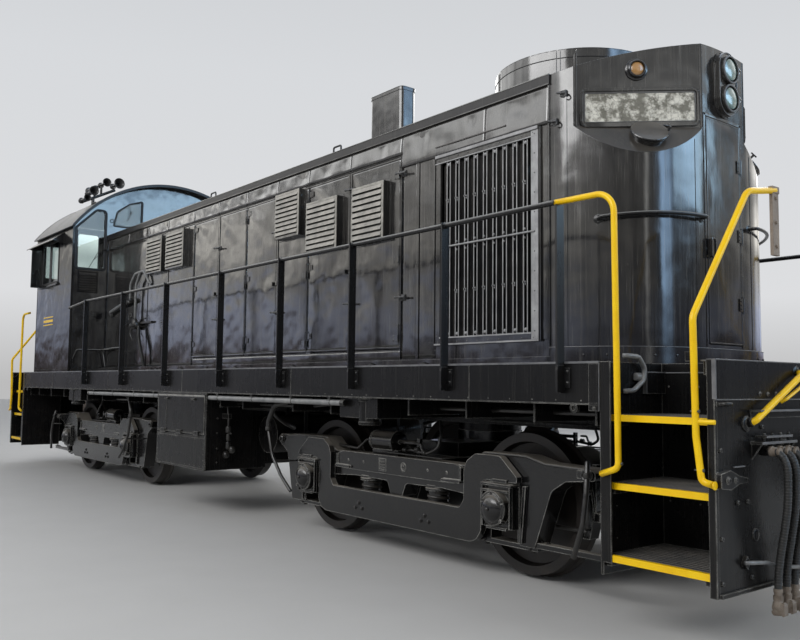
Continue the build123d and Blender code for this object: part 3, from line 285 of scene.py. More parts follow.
def simple_mat(name, col_a, col_b, rough, metal=0.0, scale=8.0, bump_s=0.15, bump_d=0.002, **sock):
    m, nt, b = new_mat(name)
    c = coords(nt)
    n1 = noise_tex(nt, c, scale, 6.0, 0.6)
    nt.links.new(mix(nt, ramp(nt, n1, [(0.3, grey(0)), (0.72, grey(1))]), (*col_a, 1), (*col_b, 1)), b.inputs["Base Color"])
    nt.links.new(ramp(nt, n1, [(0.2, grey(rough * 0.8)), (0.8, grey(min(1.0, rough * 1.25)))]), b.inputs["Roughness"])
    b.inputs["Metallic"].default_value = metal
    nt.links.new(bump(nt, noise_tex(nt, c, scale * 5, 5.0), bump_s, bump_d), b.inputs["Normal"])
    for k, v in sock.items():
        b.inputs[k.replace("_", " ")].default_value = v
    return m


MAT["wheel"] = simple_mat("wheel_steel", (0.008, 0.0075, 0.007), (0.026, 0.020, 0.016), 0.42, 0.1, 6.0)
MAT["core"] = simple_mat("radiator_core", (0.006, 0.006, 0.006), (0.014, 0.014, 0.014), 0.7, 0.0, 40.0)
MAT["rubber"] = simple_mat("hose_rubber", (0.012, 0.012, 0.012), (0.03, 0.03, 0.028), 0.5, 0.0, 30.0)
MAT["iron"] = simple_mat("bare_iron", (0.05, 0.04, 0.034), (0.12, 0.09, 0.07), 0.5, 0.6, 14.0, 0.3)
MAT["inside"] = simple_mat("cab_inside", (0.035, 0.055, 0.045), (0.06, 0.085, 0.07), 0.5, 0.0, 5.0)
MAT["engine"] = simple_mat("engine_paint", (0.05, 0.055, 0.055), (0.09, 0.09, 0.085), 0.5, 0.0, 4.0)


def glass_mat(name):
    m, nt, b = new_mat(name)
    b.inputs["Base Color"].default_value = (0.75, 0.85, 0.86, 1)
    b.inputs["Roughness"].default_value = 0.03
    b.inputs["Transmission Weight"].default_value = 1.0
    b.inputs["Specular IOR Level"].default_value = 0.1
    b.inputs["IOR"].default_value = 1.45
    return m


MAT["glass"] = glass_mat("cab_glass_pane")


# ---------------------------------------------------------------------------
# More finishes for the fittings
# ---------------------------------------------------------------------------
MAT["hardware"] = simple_mat("hardware_paint", (0.030, 0.031, 0.033), (0.075, 0.075, 0.074), 0.42, 0.0, 12.0, 0.3)
# the slats' light grey is dust and a painted sky reflection on their sloping faces
MAT["slats"] = simple_mat("slats_dust_and_painted_sheen", (0.17, 0.165, 0.15), (0.42, 0.40, 0.36), 0.5, 0.0, 9.0, 0.2)
# light grey for the grille's edge strips, bars, pivots and clamps: painted highlights
MAT["grille_highlight"] = simple_mat("grille_highlight_paint", (0.20, 0.20, 0.205), (0.38, 0.38, 0.385), 0.35, 0.0, 12.0, 0.2)
# pale grey strips along rims, sashes and edges
MAT["pale_edge"] = simple_mat("pale_edge_strips", (0.05, 0.052, 0.055), (0.15, 0.15, 0.155), 0.4, 0.0, 10.0, 0.2)
MAT["deck_edge"] = simple_mat("bright_edges", (0.07, 0.073, 0.078), (0.16, 0.16, 0.165), 0.4, 0.0, 10.0, 0.2)
MAT["deck"] = simple_mat("walkway_deck", (0.03, 0.03, 0.03), (0.09, 0.082, 0.072), 0.6, 0.0, 8.0, 0.3)
MAT["gasket"] = simple_mat("gasket_rubber", (0.008, 0.008, 0.008), (0.016, 0.016, 0.016), 0.5, 0.0, 20.0)
MAT["seat"] = simple_mat("seat_vinyl", (0.03, 0.022, 0.018), (0.06, 0.045, 0.035), 0.5, 0.0, 12.0)
MAT["horn"] = simple_mat("horn_paint", (0.014, 0.014, 0.015), (0.04, 0.04, 0.04), 0.35, 0.0, 12.0)
MAT["rust_bar"] = simple_mat("brown_grey_bar", (0.16, 0.12, 0.09), (0.30, 0.25, 0.20), 0.6, 0.0, 12.0, 0.3)
MAT["truck_bolt"] = simple_mat("truck_hardware", (0.007, 0.007, 0.007), (0.030, 0.027, 0.024), 0.22, 0.0, 18.0, 0.25)
MAT["spring"] = simple_mat("spring_steel", (0.010, 0.009, 0.008), (0.035, 0.030, 0.025), 0.35, 0.1, 20.0, 0.2)
MAT["pipe_dull"] = simple_mat("pipe_dull", (0.008, 0.008, 0.008), (0.032, 0.030, 0.027), 0.30, 0.0, 14.0, 0.25)
MAT["pipe_pale"] = simple_mat("pipe_pale", (0.10, 0.105, 0.11), (0.24, 0.24, 0.235), 0.38, 0.0, 12.0, 0.2)
MAT["armour"] = simple_mat("hose_armour", (0.012, 0.012, 0.012), (0.045, 0.042, 0.04), 0.42, 0.0, 26.0)
MAT["gladhand"] = simple_mat("coupling_heads", (0.10, 0.075, 0.055), (0.26, 0.22, 0.18), 0.5, 0.2, 22.0, 0.3)
MAT["coupler"] = simple_mat("coupler_iron", (0.035, 0.026, 0.02), (0.13, 0.095, 0.07), 0.5, 0.2, 10.0, 0.35)


def board_glass():
    """Ground, crazed number-board glass with patches of grime."""
    m, nt, b = new_mat("number_board_glass")
    c = coords(nt)
    v = nt.nodes.new("ShaderNodeTexVoronoi")
    v.feature = "DISTANCE_TO_EDGE"
    v.inputs["Scale"].default_value = 26.0
    nt.links.new(c, v.inputs["Vector"])
    crack = ramp(nt, v.outputs["Distance"], [(0.0, grey(1)), (0.035, grey(0))])
    grime = ramp(nt, noise_tex(nt, c, 11.0, 8.0, 0.7), [(0.44, grey(0)), (0.56, grey(1))])
    col = mix(nt, grime, (0.62, 0.61, 0.55, 1), (0.15, 0.145, 0.12, 1))
    col = mix(nt, math_n(nt, "MULTIPLY", crack, 0.7), col, (0.06, 0.055, 0.05, 1))
    nt.links.new(col, b.inputs["Base Color"])
    b.inputs["Roughness"].default_value = 0.22
    return m


def lens_glass(name, col, rough, scale=120.0, emit=0.0):
    m, nt, b = new_mat(name)
    c = coords(nt)
    w = noise_tex(nt, c, scale, 2.0)
    nt.links.new(mix(nt, w, (col[0] * 0.5, col[1] * 0.5, col[2] * 0.5, 1), (*col, 1)), b.inputs["Base Color"])
    b.inputs["Roughness"].default_value = rough
    b.inputs["Specular IOR Level"].default_value = 0.8
    b.inputs["Coat Weight"].default_value = 0.6
    nt.links.new(bump(nt, w, 0.3, 0.004), b.inputs["Normal"])
    return m


MAT["board"] = board_glass()
MAT["amber"] = lens_glass("amber_glass", (0.50, 0.27, 0.09), 0.12)
MAT["lens"] = lens_glass("headlight_glass", (0.20, 0.30, 0.28), 0.08, 60.0)


# ---------------------------------------------------------------------------
# CAD nodes: finish and softened edges
# ---------------------------------------------------------------------------
def soften(name, width, angle=32.0, segments=2):
    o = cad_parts[name]
    for p in o.data.polygons:
        p.use_smooth = True
    w = o.modifiers.new("weld", "WELD")
    w.merge_threshold = 0.00005
    d = o.modifiers.new("planar", "DECIMATE")
    d.decimate_type = "DISSOLVE"
    d.angle_limit = math.radians(0.6)
    if width:
        b = o.modifiers.new("edge", "BEVEL")
        b.width = width
        b.segments = segments
        b.limit_method = "ANGLE"
        b.angle_limit = math.radians(angle)
        b.harden_normals = False
        b.use_clamp_overlap = True
    n = o.modifiers.new("normals", "WEIGHTED_NORMAL")
    n.keep_sharp = True
    n.weight = 60


def paint(name, mat, width=0.0025, angle=32.0, segments=2):
    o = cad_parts[name]
    o.data.materials.clear()
    o.data.materials.append(MAT[mat])
    soften(name, width, angle, segments)


FINISH = {
    "hood_sides": ("hood", 0.002), "hood_roof": ("roof", 0.002), "nose_shell": ("nose", 0.004), "nose_door": ("nose", 0.002),
    "cab_sides": ("cab", 0.003), "cab_end_walls": ("cab_front", 0.003), "cab_roof": ("roof", 0.004),
    "cab_door_front": ("cab_front", 0.003), "cab_door_rear": ("cab", 0.003), "cab_glass": ("glass", 0.0),
    "cab_floor_and_seats": ("inside", 0.006), "engine_block": ("engine", 0.01),
    "fan_shroud": ("nose", 0.002), "exhaust_stack": ("nose", 0.004), "side_radiators": ("hood", 0.0015),
    "underframe": ("frame", 0.003), "pilots": ("frame", 0.004), "corner_steps": ("frame", 0.003),
    "battery_boxes": ("frame", 0.003), "battery_door_left": ("frame", 0.002), "battery_door_right": ("frame", 0.002),
    "air_tanks_and_pipes": ("frame", 0.004), "side_handrails": ("rail", 0.0015), "end_handrails": ("yellow", 0.0),
    "lamps": ("hood", 0.004), "horn": ("rail", 0.003), "hose_couplings": ("iron", 0.008),
    "air_hose_1": ("rubber", 0.0), "air_hose_2": ("rubber", 0.0), "air_hose_3": ("rubber", 0.0),
    "front_coupler": ("iron", 0.012), "rear_coupler": ("iron", 0.012), "front_knuckle": ("iron", 0.012), "rear_knuckle": ("iron", 0.012),
}
for end in ("front", "rear"):
    FINISH[end + "_truck_frame"] = ("truck", 0.012)
    FINISH[end + "_equalizers"] = ("truck", 0.006)
    FINISH[end + "_journal_boxes"] = ("truck", 0.010)
    FINISH[end + "_brake_gear"] = ("truck", 0.006)
    FINISH[end + "_traction_motors"] = ("truck", 0.010)
for i in range(1, 5):
    FINISH[f"wheelset_{i}"] = ("wheel", 0.002)
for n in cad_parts:
    if n.startswith("hood_door_"):
        FINISH[n] = ("hood", 0.0015)
for n, (mat, w) in FINISH.items():
    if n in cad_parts:
        paint(n, mat, w)


# ---------------------------------------------------------------------------
# Mesh building.  Pieces are drawn in millimetres; FLIP mirrors what is drawn, so that x is the distance
# towards the end and y the distance out from the middle, and both ends and sides share one drawing.
# ---------------------------------------------------------------------------
FLIP = [1.0, 1.0]


def flip(sx, sy):
    FLIP[0], FLIP[1] = sx, sy


class Kit:
    """One piece: closed solids gathered into one mesh that rides on one body."""
    made = {}

    def __init__(self, name, body, mat, slot, bevel=1.2, segs=1, angle=36.0, closed=True):
        self.name, self.body, self.mat, self.slot = name, body, mat, slot
        self.bevel, self.segs, self.angle, self.closed = bevel, segs, angle, closed
        self.v, self.f = [], []
        Kit.made[name] = self

    def add(self, verts, faces):
        n = len(self.v)
        fx, fy = FLIP
        self.v.extend((p[0] * fx * 0.001, p[1] * fy * 0.001, p[2] * 0.001) for p in verts)
        if fx * fy < 0:
            self.f.extend(tuple(n + i for i in reversed(q)) for q in faces)
        else:
            self.f.extend(tuple(n + i for i in q) for q in faces)

    def build(self):
        if not self.v:
            return None
        me = bpy.data.meshes.new(self.name)
        me.from_pydata(self.v, [], self.f)
        if self.closed:
            bm = bmesh.new()
            bm.from_mesh(me)
            bmesh.ops.recalc_face_normals(bm, faces=bm.faces)
            bm.to_mesh(me)
            bm.free()
        for p in me.polygons:
            p.use_smooth = True
        me.materials.append(MAT[self.mat])
        ob = bpy.data.objects.new(self.name, me)
        COL.objects.link(ob)
        if self.bevel:
            b = ob.modifiers.new("edge", "BEVEL")
            b.width = self.bevel * 0.001
            b.segments = self.segs
            b.limit_method = "ANGLE"
            b.angle_limit = math.radians(self.angle)
        if self.closed:
            n = ob.modifiers.new("normals", "WEIGHTED_NORMAL")
            n.keep_sharp = True
            n.weight = 60
        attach(ob, self.body)
        return ob


def kit(name, body="carbody", mat="frame", slot="black_paint", **kw):
    return Kit.made.get(name) or Kit(name, body, mat, slot, **kw)


CUBE_F = [(0, 1, 3, 2), (4, 6, 7, 5), (0, 4, 5, 1), (2, 3, 7, 6), (0, 2, 6, 4), (1, 5, 7, 3)]


def box(k, x0, x1, y0, y1, z0, z1, turn=None, about=None):
    """A rectangular piece; turn is (axis, degrees) about the point about, or about its middle."""
    vs = [(x, y, z) for x in (x0, x1) for y in (y0, y1) for z in (z0, z1)]
    if turn:
        c = Vector(about) if about else Vector(((x0 + x1) / 2, (y0 + y1) / 2, (z0 + z1) / 2))
        m = Matrix.Rotation(math.radians(turn[1]), 3, turn[0])
        vs = [tuple(m @ (Vector(p) - c) + c) for p in vs]
    k.add(vs, CUBE_F)


def prism(k, axis, pts, a0, a1):
    """An outline given a thickness along axis: pts are (y, z) for x, (x, z) for y and (x, y) for z."""
    n = len(pts)
    def place(p, a):
        return {"x": (a, p[0], p[1]), "y": (p[0], a, p[1]), "z": (p[0], p[1], a)}[axis]
    vs = [place(p, a0) for p in pts] + [place(p, a1) for p in pts]
    fs = [tuple(range(n - 1, -1, -1)), tuple(range(n, 2 * n))]
    fs += [(i, (i + 1) % n, n + (i + 1) % n, n + i) for i in range(n)]
    k.add(vs, fs)


def frame_of(axis):
    z = Vector(axis).normalized()
    x = z.orthogonal().normalized()
    return x, z.cross(x), z


def lathe(k, origin, axis, profile, n=20, phase=0.0):
    """A turned piece: profile is (distance along the axis, radius)."""
    o = Vector(origin)
    x, y, z = frame_of(axis)
    vs, fs, rows = [], [], []
    for d, r in profile:
        if r <= 1e-6:
            rows.append([len(vs)] * n)
            vs.append(tuple(o + z * d))
        else:
            row = []
            for i in range(n):
                a = phase + 2 * math.pi * i / n
                row.append(len(vs))
                vs.append(tuple(o + z * d + x * (r * math.cos(a)) + y * (r * math.sin(a))))
            rows.append(row)
    for a, b in zip(rows, rows[1:]):
        for i in range(n):
            j = (i + 1) % n
            q = []
            for t in (a[i], a[j], b[j], b[i]):
                if t not in q:
                    q.append(t)
            if len(q) > 2:
                fs.append(tuple(q))
    if len(set(rows[0])) > 1:
        fs.append(tuple(reversed(rows[0])))
    if len(set(rows[-1])) > 1:
        fs.append(tuple(rows[-1]))
    k.add(vs, fs)


def rod(k, a, b, r, n=14, r2=None):
    d = (Vector(b) - Vector(a)).length
    lathe(k, a, Vector(b) - Vector(a), [(0, r), (d, r if r2 is None else r2)], n)


def round_corners(pts, radius, steps=5):
    """A route with its corners turned into arcs."""
    P = [Vector(p) for p in pts]
    out = [P[0]]
    for i in range(1, len(P) - 1):
        r = radius[i - 1] if isinstance(radius, (list, tuple)) else radius
        a, b = (P[i - 1] - P[i]), (P[i + 1] - P[i])
        la, lb = a.length, b.length
        a.normalize(); b.normalize()
        ang = a.angle(b, math.pi)
        if r <= 0 or ang > math.radians(177):
            out.append(P[i])
            continue
        t = min(r / math.tan(ang / 2), la * 0.48, lb * 0.48)
        s, e = P[i] + a * t, P[i] + b * t
        for j in range(steps + 1):
            u = j / steps
            out.append((1 - u) ** 2 * s + 2 * u * (1 - u) * P[i] + u * u * e)
    out.append(P[-1])
    return out


def pipe(k, pts, r, n=10, bend=0.0, steps=5, cap=True):
    """A fixed round pipe or bar along a route."""
    P = round_corners(pts, bend, steps) if bend else [Vector(p) for p in pts]
    vs, fs = [], []
    tang = []
    for i in range(len(P)):
        a = P[max(i - 1, 0)]
        b = P[min(i + 1, len(P) - 1)]
        tang.append((b - a).normalized())
    x = tang[0].orthogonal().normalized()
    for i, p in enumerate(P):
        t = tang[i]
        x = (x - t * x.dot(t)).normalized()
        y = t.cross(x)
        for j in range(n):
            a = 2 * math.pi * j / n
            vs.append(tuple(p + x * (r * math.cos(a)) + y * (r * math.sin(a))))
    for i in range(len(P) - 1):
        for j in range(n):
            m = (j + 1) % n
            fs.append((i * n + j, i * n + m, (i + 1) * n + m, (i + 1) * n + j))
    if cap:
        fs.append(tuple(reversed(range(n))))
        fs.append(tuple(range((len(P) - 1) * n, len(P) * n)))
    k.add(vs, fs)


def ring(k, centre, axis, R, r, n=28, m=8):
    o = Vector(centre)
    x, y, z = frame_of(axis)
    vs, fs = [], []
    for i in range(n):
        a = 2 * math.pi * i / n
        d = x * math.cos(a) + y * math.sin(a)
        for j in range(m):
            b = 2 * math.pi * j / m
            vs.append(tuple(o + d * (R + r * math.cos(b)) + z * (r * math.sin(b))))
    for i in range(n):
        for j in range(m):
            a, b = (i + 1) % n, (j + 1) % m
            fs.append((i * m + j, a * m + j, a * m + b, i * m + b))
    k.add(vs, fs)


def coil(k, centre, R, r, z0, z1, turns, n=8, per=18):
    """A coil spring standing up."""
    c = Vector((centre[0], centre[1], 0))
    pts = []
    total = int(turns * per)
    for i in range(total + 1):
        a = 2 * math.pi * i / per
        pts.append(c + Vector((R * math.cos(a), R * math.sin(a), z0 + (z1 - z0) * i / total)))
    pipe(k, pts, r, n)


def bolt(k, p, axis, r=13.0, h=11.0, washer=True):
    """A hexagon head on its washer."""
    prof = []
    if washer:
        prof = [(0, r * 1.35), (2.5, r * 1.35)]
    prof += [(2.5 if washer else 0, r), (h * 0.85, r), (h, r * 0.72), (h, 0)]
    if washer:
        lathe(k, p, axis, [(0, r * 1.35), (2.5, r * 1.35), (2.5, 0)], 12)
    lathe(k, p, axis, prof[2:] if washer else prof, 6)


def rivet(k, p, axis, r=9.0):
    lathe(k, p, axis, [(0, r), (r * 0.35, r * 0.88), (r * 0.6, r * 0.5), (r * 0.68, 0)], 8)


def loop(pts, steps=6):
    """A closed outline of (a, b, corner radius) with its corners rounded."""
    out = []
    n = len(pts)
    for i, (px, py, r) in enumerate(pts):
        a = Vector((pts[i - 1][0] - px, pts[i - 1][1] - py))
        b = Vector((pts[(i + 1) % n][0] - px, pts[(i + 1) % n][1] - py))
        la, lb = a.length, b.length
        a.normalize(); b.normalize()
        ang = a.angle(b, math.pi)
        if r <= 0 or ang > math.radians(177):
            out.append((px, py))
            continue
        t = min(r / math.tan(ang / 2), la * 0.49, lb * 0.49)
        P = Vector((px, py))
        s, e = P + a * t, P + b * t
        for j in range(steps + 1):
            u = j / steps
            q = (1 - u) ** 2 * s + 2 * u * (1 - u) * P + u * u * e
            out.append((q.x, q.y))
    return out


def grown(pts, d):
    """The outline moved outwards by d (a list of points going round once)."""
    n = len(pts)
    area = sum(pts[i - 1][0] * pts[i][1] - pts[i][0] * pts[i - 1][1] for i in range(n))
    sgn = 1.0 if area > 0 else -1.0
    out = []
    for i in range(n):
        a = Vector(pts[i]) - Vector(pts[i - 1])
        b = Vector(pts[(i + 1) % n]) - Vector(pts[i])
        if a.length < 1e-6:
            a = b
        if b.length < 1e-6:
            b = a
        a.normalize(); b.normalize()
        na, nb = Vector((a.y, -a.x)) * sgn, Vector((b.y, -b.x)) * sgn
        m = na + nb
        m = m / max(m.length_squared, 0.4) * 2.0
        out.append((pts[i][0] + m.x * d * 1.0, pts[i][1] + m.y * d * 1.0))
    return out


def frame_ring(k, axis, pts, inner, outer, a0, a1):
    """A flat frame that follows an outline, from inner to outer beside it, between a0 and a1 along axis."""
    A, B = grown(pts, inner), grown(pts, outer)
    n = len(pts)
    def place(p, a):
        return {"x": (a, p[0], p[1]), "y": (p[0], a, p[1]), "z": (p[0], p[1], a)}[axis]
    vs = [place(p, a0) for p in A] + [place(p, a0) for p in B] + [place(p, a1) for p in B] + [place(p, a1) for p in A]
    fs = []
    for i in range(n):
        j = (i + 1) % n
        for r0, r1 in ((0, 1), (1, 2), (2, 3), (3, 0)):
            fs.append((r0 * n + i, r0 * n + j, r1 * n + j, r1 * n + i))
    k.add(vs, fs)


def skin(k, xa, xb, za, zb, y, lift=2.0, pillow=4.0, amp=3.5, size=420.0, seed=0.0, cell=30.0, lean=0.0, dents=(), fan=0.0):
    """A sheet-metal panel on an upright wall at |y|: its edges lie flat, and its middle is drawn and dented.
    lean tilts it inwards towards the top; dents are (x, z, radius, depth)."""
    nx, nz = max(4, int((xb - xa) / cell)), max(4, int((zb - za) / cell))
    rows = []
    vs, fs = [], []
    for i in range(nx + 1):
        u = i / nx
        x = xa + (xb - xa) * u
        for j in range(nz + 1):
            v = j / nz
            z = za + (zb - za) * v
            e = (1 - abs(2 * u - 1) ** 6) * (1 - abs(2 * v - 1) ** 14)
            p = Vector((x / size, seed * 7.31, z / (size * 1.7)))
            d = amp * noise.noise(p) + amp * 0.45 * noise.noise(p * 2.3 + Vector((5, 1, 2)))
            d += pillow * math.cos((u - 0.5) * math.pi) * 0.8
            if fan:
                # creases spread from a corner at the head of the sheet
                px, pz = (x - xa) + 40.0, (zb - z) + 40.0
                d += fan * math.sin(math.atan2(px, pz) * 6.0 + seed * 1.7) * math.exp(-(px * px + pz * pz) / (560.0 * 560.0))
            for cx, cz, cr, cd in dents:
                q = ((x - cx) ** 2 + (z - cz) ** 2) / (cr * cr)
                if q < 9:
                    d -= cd * math.exp(-q * 1.6)
            vs.append((x, y + lift + max(-lift + 0.6, e * d) - lean * v, z))
    w = nz + 1
    for i in range(nx):
        for j in range(nz):
            fs.append((i * w + j, i * w + j + 1, (i + 1) * w + j + 1, (i + 1) * w + j))
    # its edges turn back to the wall
    n0 = len(vs)
    edge = [i * w for i in range(nx + 1)] + [nx * w + j for j in range(1, nz + 1)] + [i * w + nz for i in range(nx - 1, -1, -1)] + [j for j in range(nz - 1, 0, -1)]
    for t in edge:
        vs.append((vs[t][0], y - 0.5 - lean * (vs[t][2] - za) / (zb - za), vs[t][2]))
    m = len(edge)
    for i in range(m):
        j = (i + 1) % m
        fs.append((edge[i], edge[j], n0 + j, n0 + i))
    k.add(vs, fs)


# ---------------------------------------------------------------------------
# Hood: sheet-metal panels, louvres, hinges and latches
# ---------------------------------------------------------------------------
SIDES = (("right", -1.0), ("left", 1.0))
LEAVES = [("a", -637.0, 12.0, "low", None), ("b", 12.0, 680.0, "high", None), ("c", 680.0, 1331.0, "low", None),
          ("d", 1331.0, 1927.0, "high", (1394.0, 1851.0, 2840.0, 3300.0)),
          ("e", 1927.0, 2633.0, "low", (1985.0, 2511.0, 2630.0, 3120.0)),
          ("f", 2633.0, 3372.0, "high", (2746.0, 3215.0, 2620.0, 3130.0))]
FIXED_BOXES = [(-1976.0, -1485.0, 2810.0, 3280.0), (-1345.0, -823.0, 2810.0, 3280.0)]


def louvre_trim(k, kf, xa, xb, za, zb, y0, n=9):
    """Bent slats and a rim over the openings of a louvred box."""
    pitch = (zb - za - 40) / n
    yf = y0 + 70
    for i in range(n):
        z = za + 20 + pitch * i
        zl, zt = z + 0.42 * pitch - 3, z + pitch + 1
        prism(k, "x", [(yf - 3, zt), (yf + 1.5, zt), (yf + 6, zt - 10), (yf + 13, zl + 3), (yf + 13.5, zl - 4),
                       (yf + 11, zl - 5), (yf + 4, zt - 13), (yf - 3, zt - 6)], xa + 18, xb - 30)
        # closed slat ends
        for xe in (xa + 12, xb - 36):
            prism(k, "x", [(yf - 3, zt), (yf + 2, zt + 1), (yf + 14, zl + 2), (yf + 14, zl - 6), (yf - 3, zl - 2)], xe, xe + 8)
    box(k, xa + 1, xb - 1, yf - 1, yf + 4, zb - 19, zb + 1)
    box(k, xb - 28, xb - 1, yf - 1, yf + 5, za + 1, zb - 19)
    box(k, xa + 1, xa + 13, yf - 1, yf + 4, za + 1, zb - 19)
    box(kf, xa + 1, xb - 1, yf - 1, yf + 4, za - 1, za + 18)
    # flange where the box meets the panel, with its rivets
    for x0, x1, z0, z1 in ((xa - 16, xa + 1, za - 16, zb + 16), (xb - 1, xb + 16, za - 16, zb + 16), (xa, xb, zb - 1, zb + 16), (xa, xb, za - 16, za + 1)):
        box(kf, x0, x1, y0 + 1, y0 + 9, z0, z1)
    for j in range(5):
        z = za + (zb - za) * (j + 0.5) / 5
        rivet(kf, (xa - 8, y0 + 9, z), (0, 1, 0), 5)
        rivet(kf, (xb + 8, y0 + 9, z), (0, 1, 0), 5)


def tee_latch(k, x, z, y):
    """Turn handle on a round rose."""
    lathe(k, (x, y - 3, z), (0, 1, 0), [(0, 24), (8, 24), (11, 19), (11, 12), (30, 10), (36, 13), (44, 13), (48, 8), (48, 0)], 14)
    rod(k, (x - 55, y + 38, z + 3), (x + 55, y + 38, z - 3), 7.5, 10)
    for d in (-55, 55):
        lathe(k, (x + d, y + 38, z - d / 55 * 3), (d, 0, 0), [(-8, 7), (0, 11), (8, 11), (13, 6), (13, 0)], 10)


def hinge_trim(k, x, zc, d, y=1018.0):
    """A pin through the barrels, and a strap leaf with its screws."""
    z = zc + (34 if d > 0 else -34)
    rod(k, (x, y, zc - 76), (x, y, zc + 76), 4.2, 10)
    lathe(k, (x, y, zc + 74), (0, 0, 1), [(0, 6), (6, 6), (9, 3), (9, 0)], 10)
    x0, x1 = sorted((x + d * 12, x + d * 74))
    box(k, x0, x1, y - 12, y - 4, z - 26, z + 26)
    for zz in (z - 15, z + 15):
        rivet(k, (x + d * 60, y - 4, zz), (0, 1, 0), 6)


for side, sy in SIDES:
    flip(1.0, sy)
    for i, (name, xa, xb, edge, lb) in enumerate(LEAVES):
        body = f"hood_door_{side}_{name}_body"
        ks = kit(f"hood_leaf_skin_{side}_{name}", body, "hood", bevel=0, closed=False)
        seed = i + (0.0 if sy < 0 else 20.0)
        dents = [(xa + 160 + 60 * ((i * 37) % 5), 2050 + 210 * ((i * 53) % 4), 90, 3.0), (xb - 150, 2650 - 170 * ((i * 29) % 3), 70, 2.5)]
        skin(ks, xa + 5, xb - 5, 1682, 3308, 1004, lift=2.6, pillow=3.2, amp=3.0, size=430, seed=seed, dents=dents, fan=5.0)
        kt = kit(f"hood_leaf_trim_{side}_{name}", body, "hood", bevel=1.2)
        free = xb if edge == "low" else xa
        hinge = xa + 14 if edge == "low" else xb - 14
        d = 1 if edge == "low" else -1
        # stiffening strip along the free edge, and a fold at head and foot
        x0, x1 = sorted((free - d * 4, free - d * 27))
        box(kt, x0, x1, 1002, 1013, 1682, 3308)
        box(kt, xa + 5, xb - 5, 1002, 1011.5, 1681, 1695)
        box(kt, xa + 5, xb - 5, 1002, 1011.5, 3295, 3309)
        for zc in (1800.0, 2470.0, 3190.0):
            hinge_trim(kt, hinge, zc, d)
        for zz in range(1740, 3300, 130):
            rivet(kt, (free - d * 15, 1013, zz), (0, 1, 0), 4.5)
        if name in "bdf":
            zu = {"b": 2925, "d": 2925, "f": 3144}[name]
            kl = kit(f"hood_leaf_latch_{side}_{name}", body, "hardware", bevel=0.8)
            for z in (zu, 2100):
                box(kl, xa + 8, xa + 62, 1004, 1014, z - 24, z + 24)
                tee_latch(kl, xa + 34, z, 1013)
        if lb:
            kl = kit(f"hood_leaf_slats_{side}_{name}", body, "slats", bevel=0.7)
            louvre_trim(kl, kt, *lb, 1004.0, n=9)
    # fixed panels
    kp = kit(f"hood_side_panels_{side}", mat="hood", bevel=0, closed=False)
    kf = kit(f"hood_side_trim_{side}", mat="hood", bevel=1.2)
    n = 30 if sy < 0 else 50
    for i, (xa, xb, za, zb) in enumerate([(-3608, -2772, 1590, 3318), (-2764, -2072, 1590, 3318), (-2064, -1414, 1590, 3318),
                                          (-1406, -645, 1590, 3318), (3382, 3590, 1590, 3318), (3598, 3818, 1590, 3318)]):
        skin(kp, xa, xb, za, zb, 1000, lift=2.6, pillow=3.0 if xb - xa > 400 else 1.5, amp=3.2 if xb - xa > 400 else 2.0, size=430, seed=n + i)
        for x in (xa + 8, xb - 8):
            for z in range(int(za) + 60, int(zb), 160):
                rivet(kf, (x, 1002, z), (0, 1, 0), 4.5)
    # header above the doors: leans in towards the roof, and is badly dented
    head = [-3608, -2768, -2068, -1410, -641, 12, 680, 1331, 1927, 2633, 3376, 4380, 5012]
    for i, (xa, xb) in enumerate(zip(head, head[1:])):
        dents = [(xa + (xb - xa) * (0.25 + 0.13 * ((i * 7) % 5)), 3405, 120, 7.0), (xa + (xb - xa) * 0.85, 3420, 60, 5.0)]
        skin(kp, xa + 3, xb - 3, 3331 if xb < 3800 else 3212, 3486, 1000, lift=16.0, lean=13.0, pillow=1.0, amp=4.2, size=210, seed=n + 10 + i, cell=20, dents=dents)
    # low band under the doors
    skin(kp, -641, 3378, 1590, 1664, 1000, lift=2.0, pillow=0.5, amp=1.0, size=300, seed=n + 30, cell=30)
    # joint covers beside the fixed panels
    for x in (-2768, -2068, -1410, 3594):
        box(kf, x - 16, x + 16, 1000, 1008.5, 1588, 3322)
    box(kf, 3374, 3381, 1000, 1010, 1588, 3322)
    for xa, xb, za, zb in FIXED_BOXES:
        louvre_trim(kit(f"hood_fixed_slats_{side}", mat="slats", bevel=0.7), kf, xa, xb, za, zb, 1000.0, n=9)
    kl = kit(f"hood_side_latches_{side}", mat="hardware", bevel=0.8)
    for z in (3158, 2103):
        box(kl, 3392, 3440, 1001, 1012, z - 26, z + 26)
        tee_latch(kl, 3414, z, 1011)
    # gutter lip under the roof edge
    box(kf, -3618, 5017, 1012, 1019, 3487, 3494)
    box(kf, -3618, 5017, 1012, 1017, 3556, 3565)
    # front jamb strip beside the grille, with its bolts, and the dark panel behind the curved corner
    box(kf, 4936, 4944, 1000, 1022, 1688, 3202)
    box(kf, 5003, 5016, 1001, 1010, 1586, 3486)
    for z in range(1700, 3460, 190):
        rivet(kf, (4976, 1001, z), (0, 1, 0), 6)
    # catches above the grille's front edge
    for x, z in ((5060, 3208), (5135, 3392)):
        y0 = math.sqrt(max(725.0 ** 2 - (x - 5020) ** 2, 0)) + 275
        box(kl, x - 26, x + 26, y0 - 6, y0 + 16, z - 20, z + 20)
        rod(kl, (x - 40, y0 + 26, z + 8), (x + 34, y0 + 22, z - 6), 8, 10)
        lathe(kl, (x, y0 + 10, z), (0, 1, 0), [(0, 12), (18, 11), (24, 7), (24, 0)], 12)
        pipe(kl, [(x + 30, y0 + 20, z - 4), (x + 44, y0 + 30, z - 22), (x + 30, y0 + 32, z - 40), (x + 10, y0 + 26, z - 34)], 5, 8, 12)

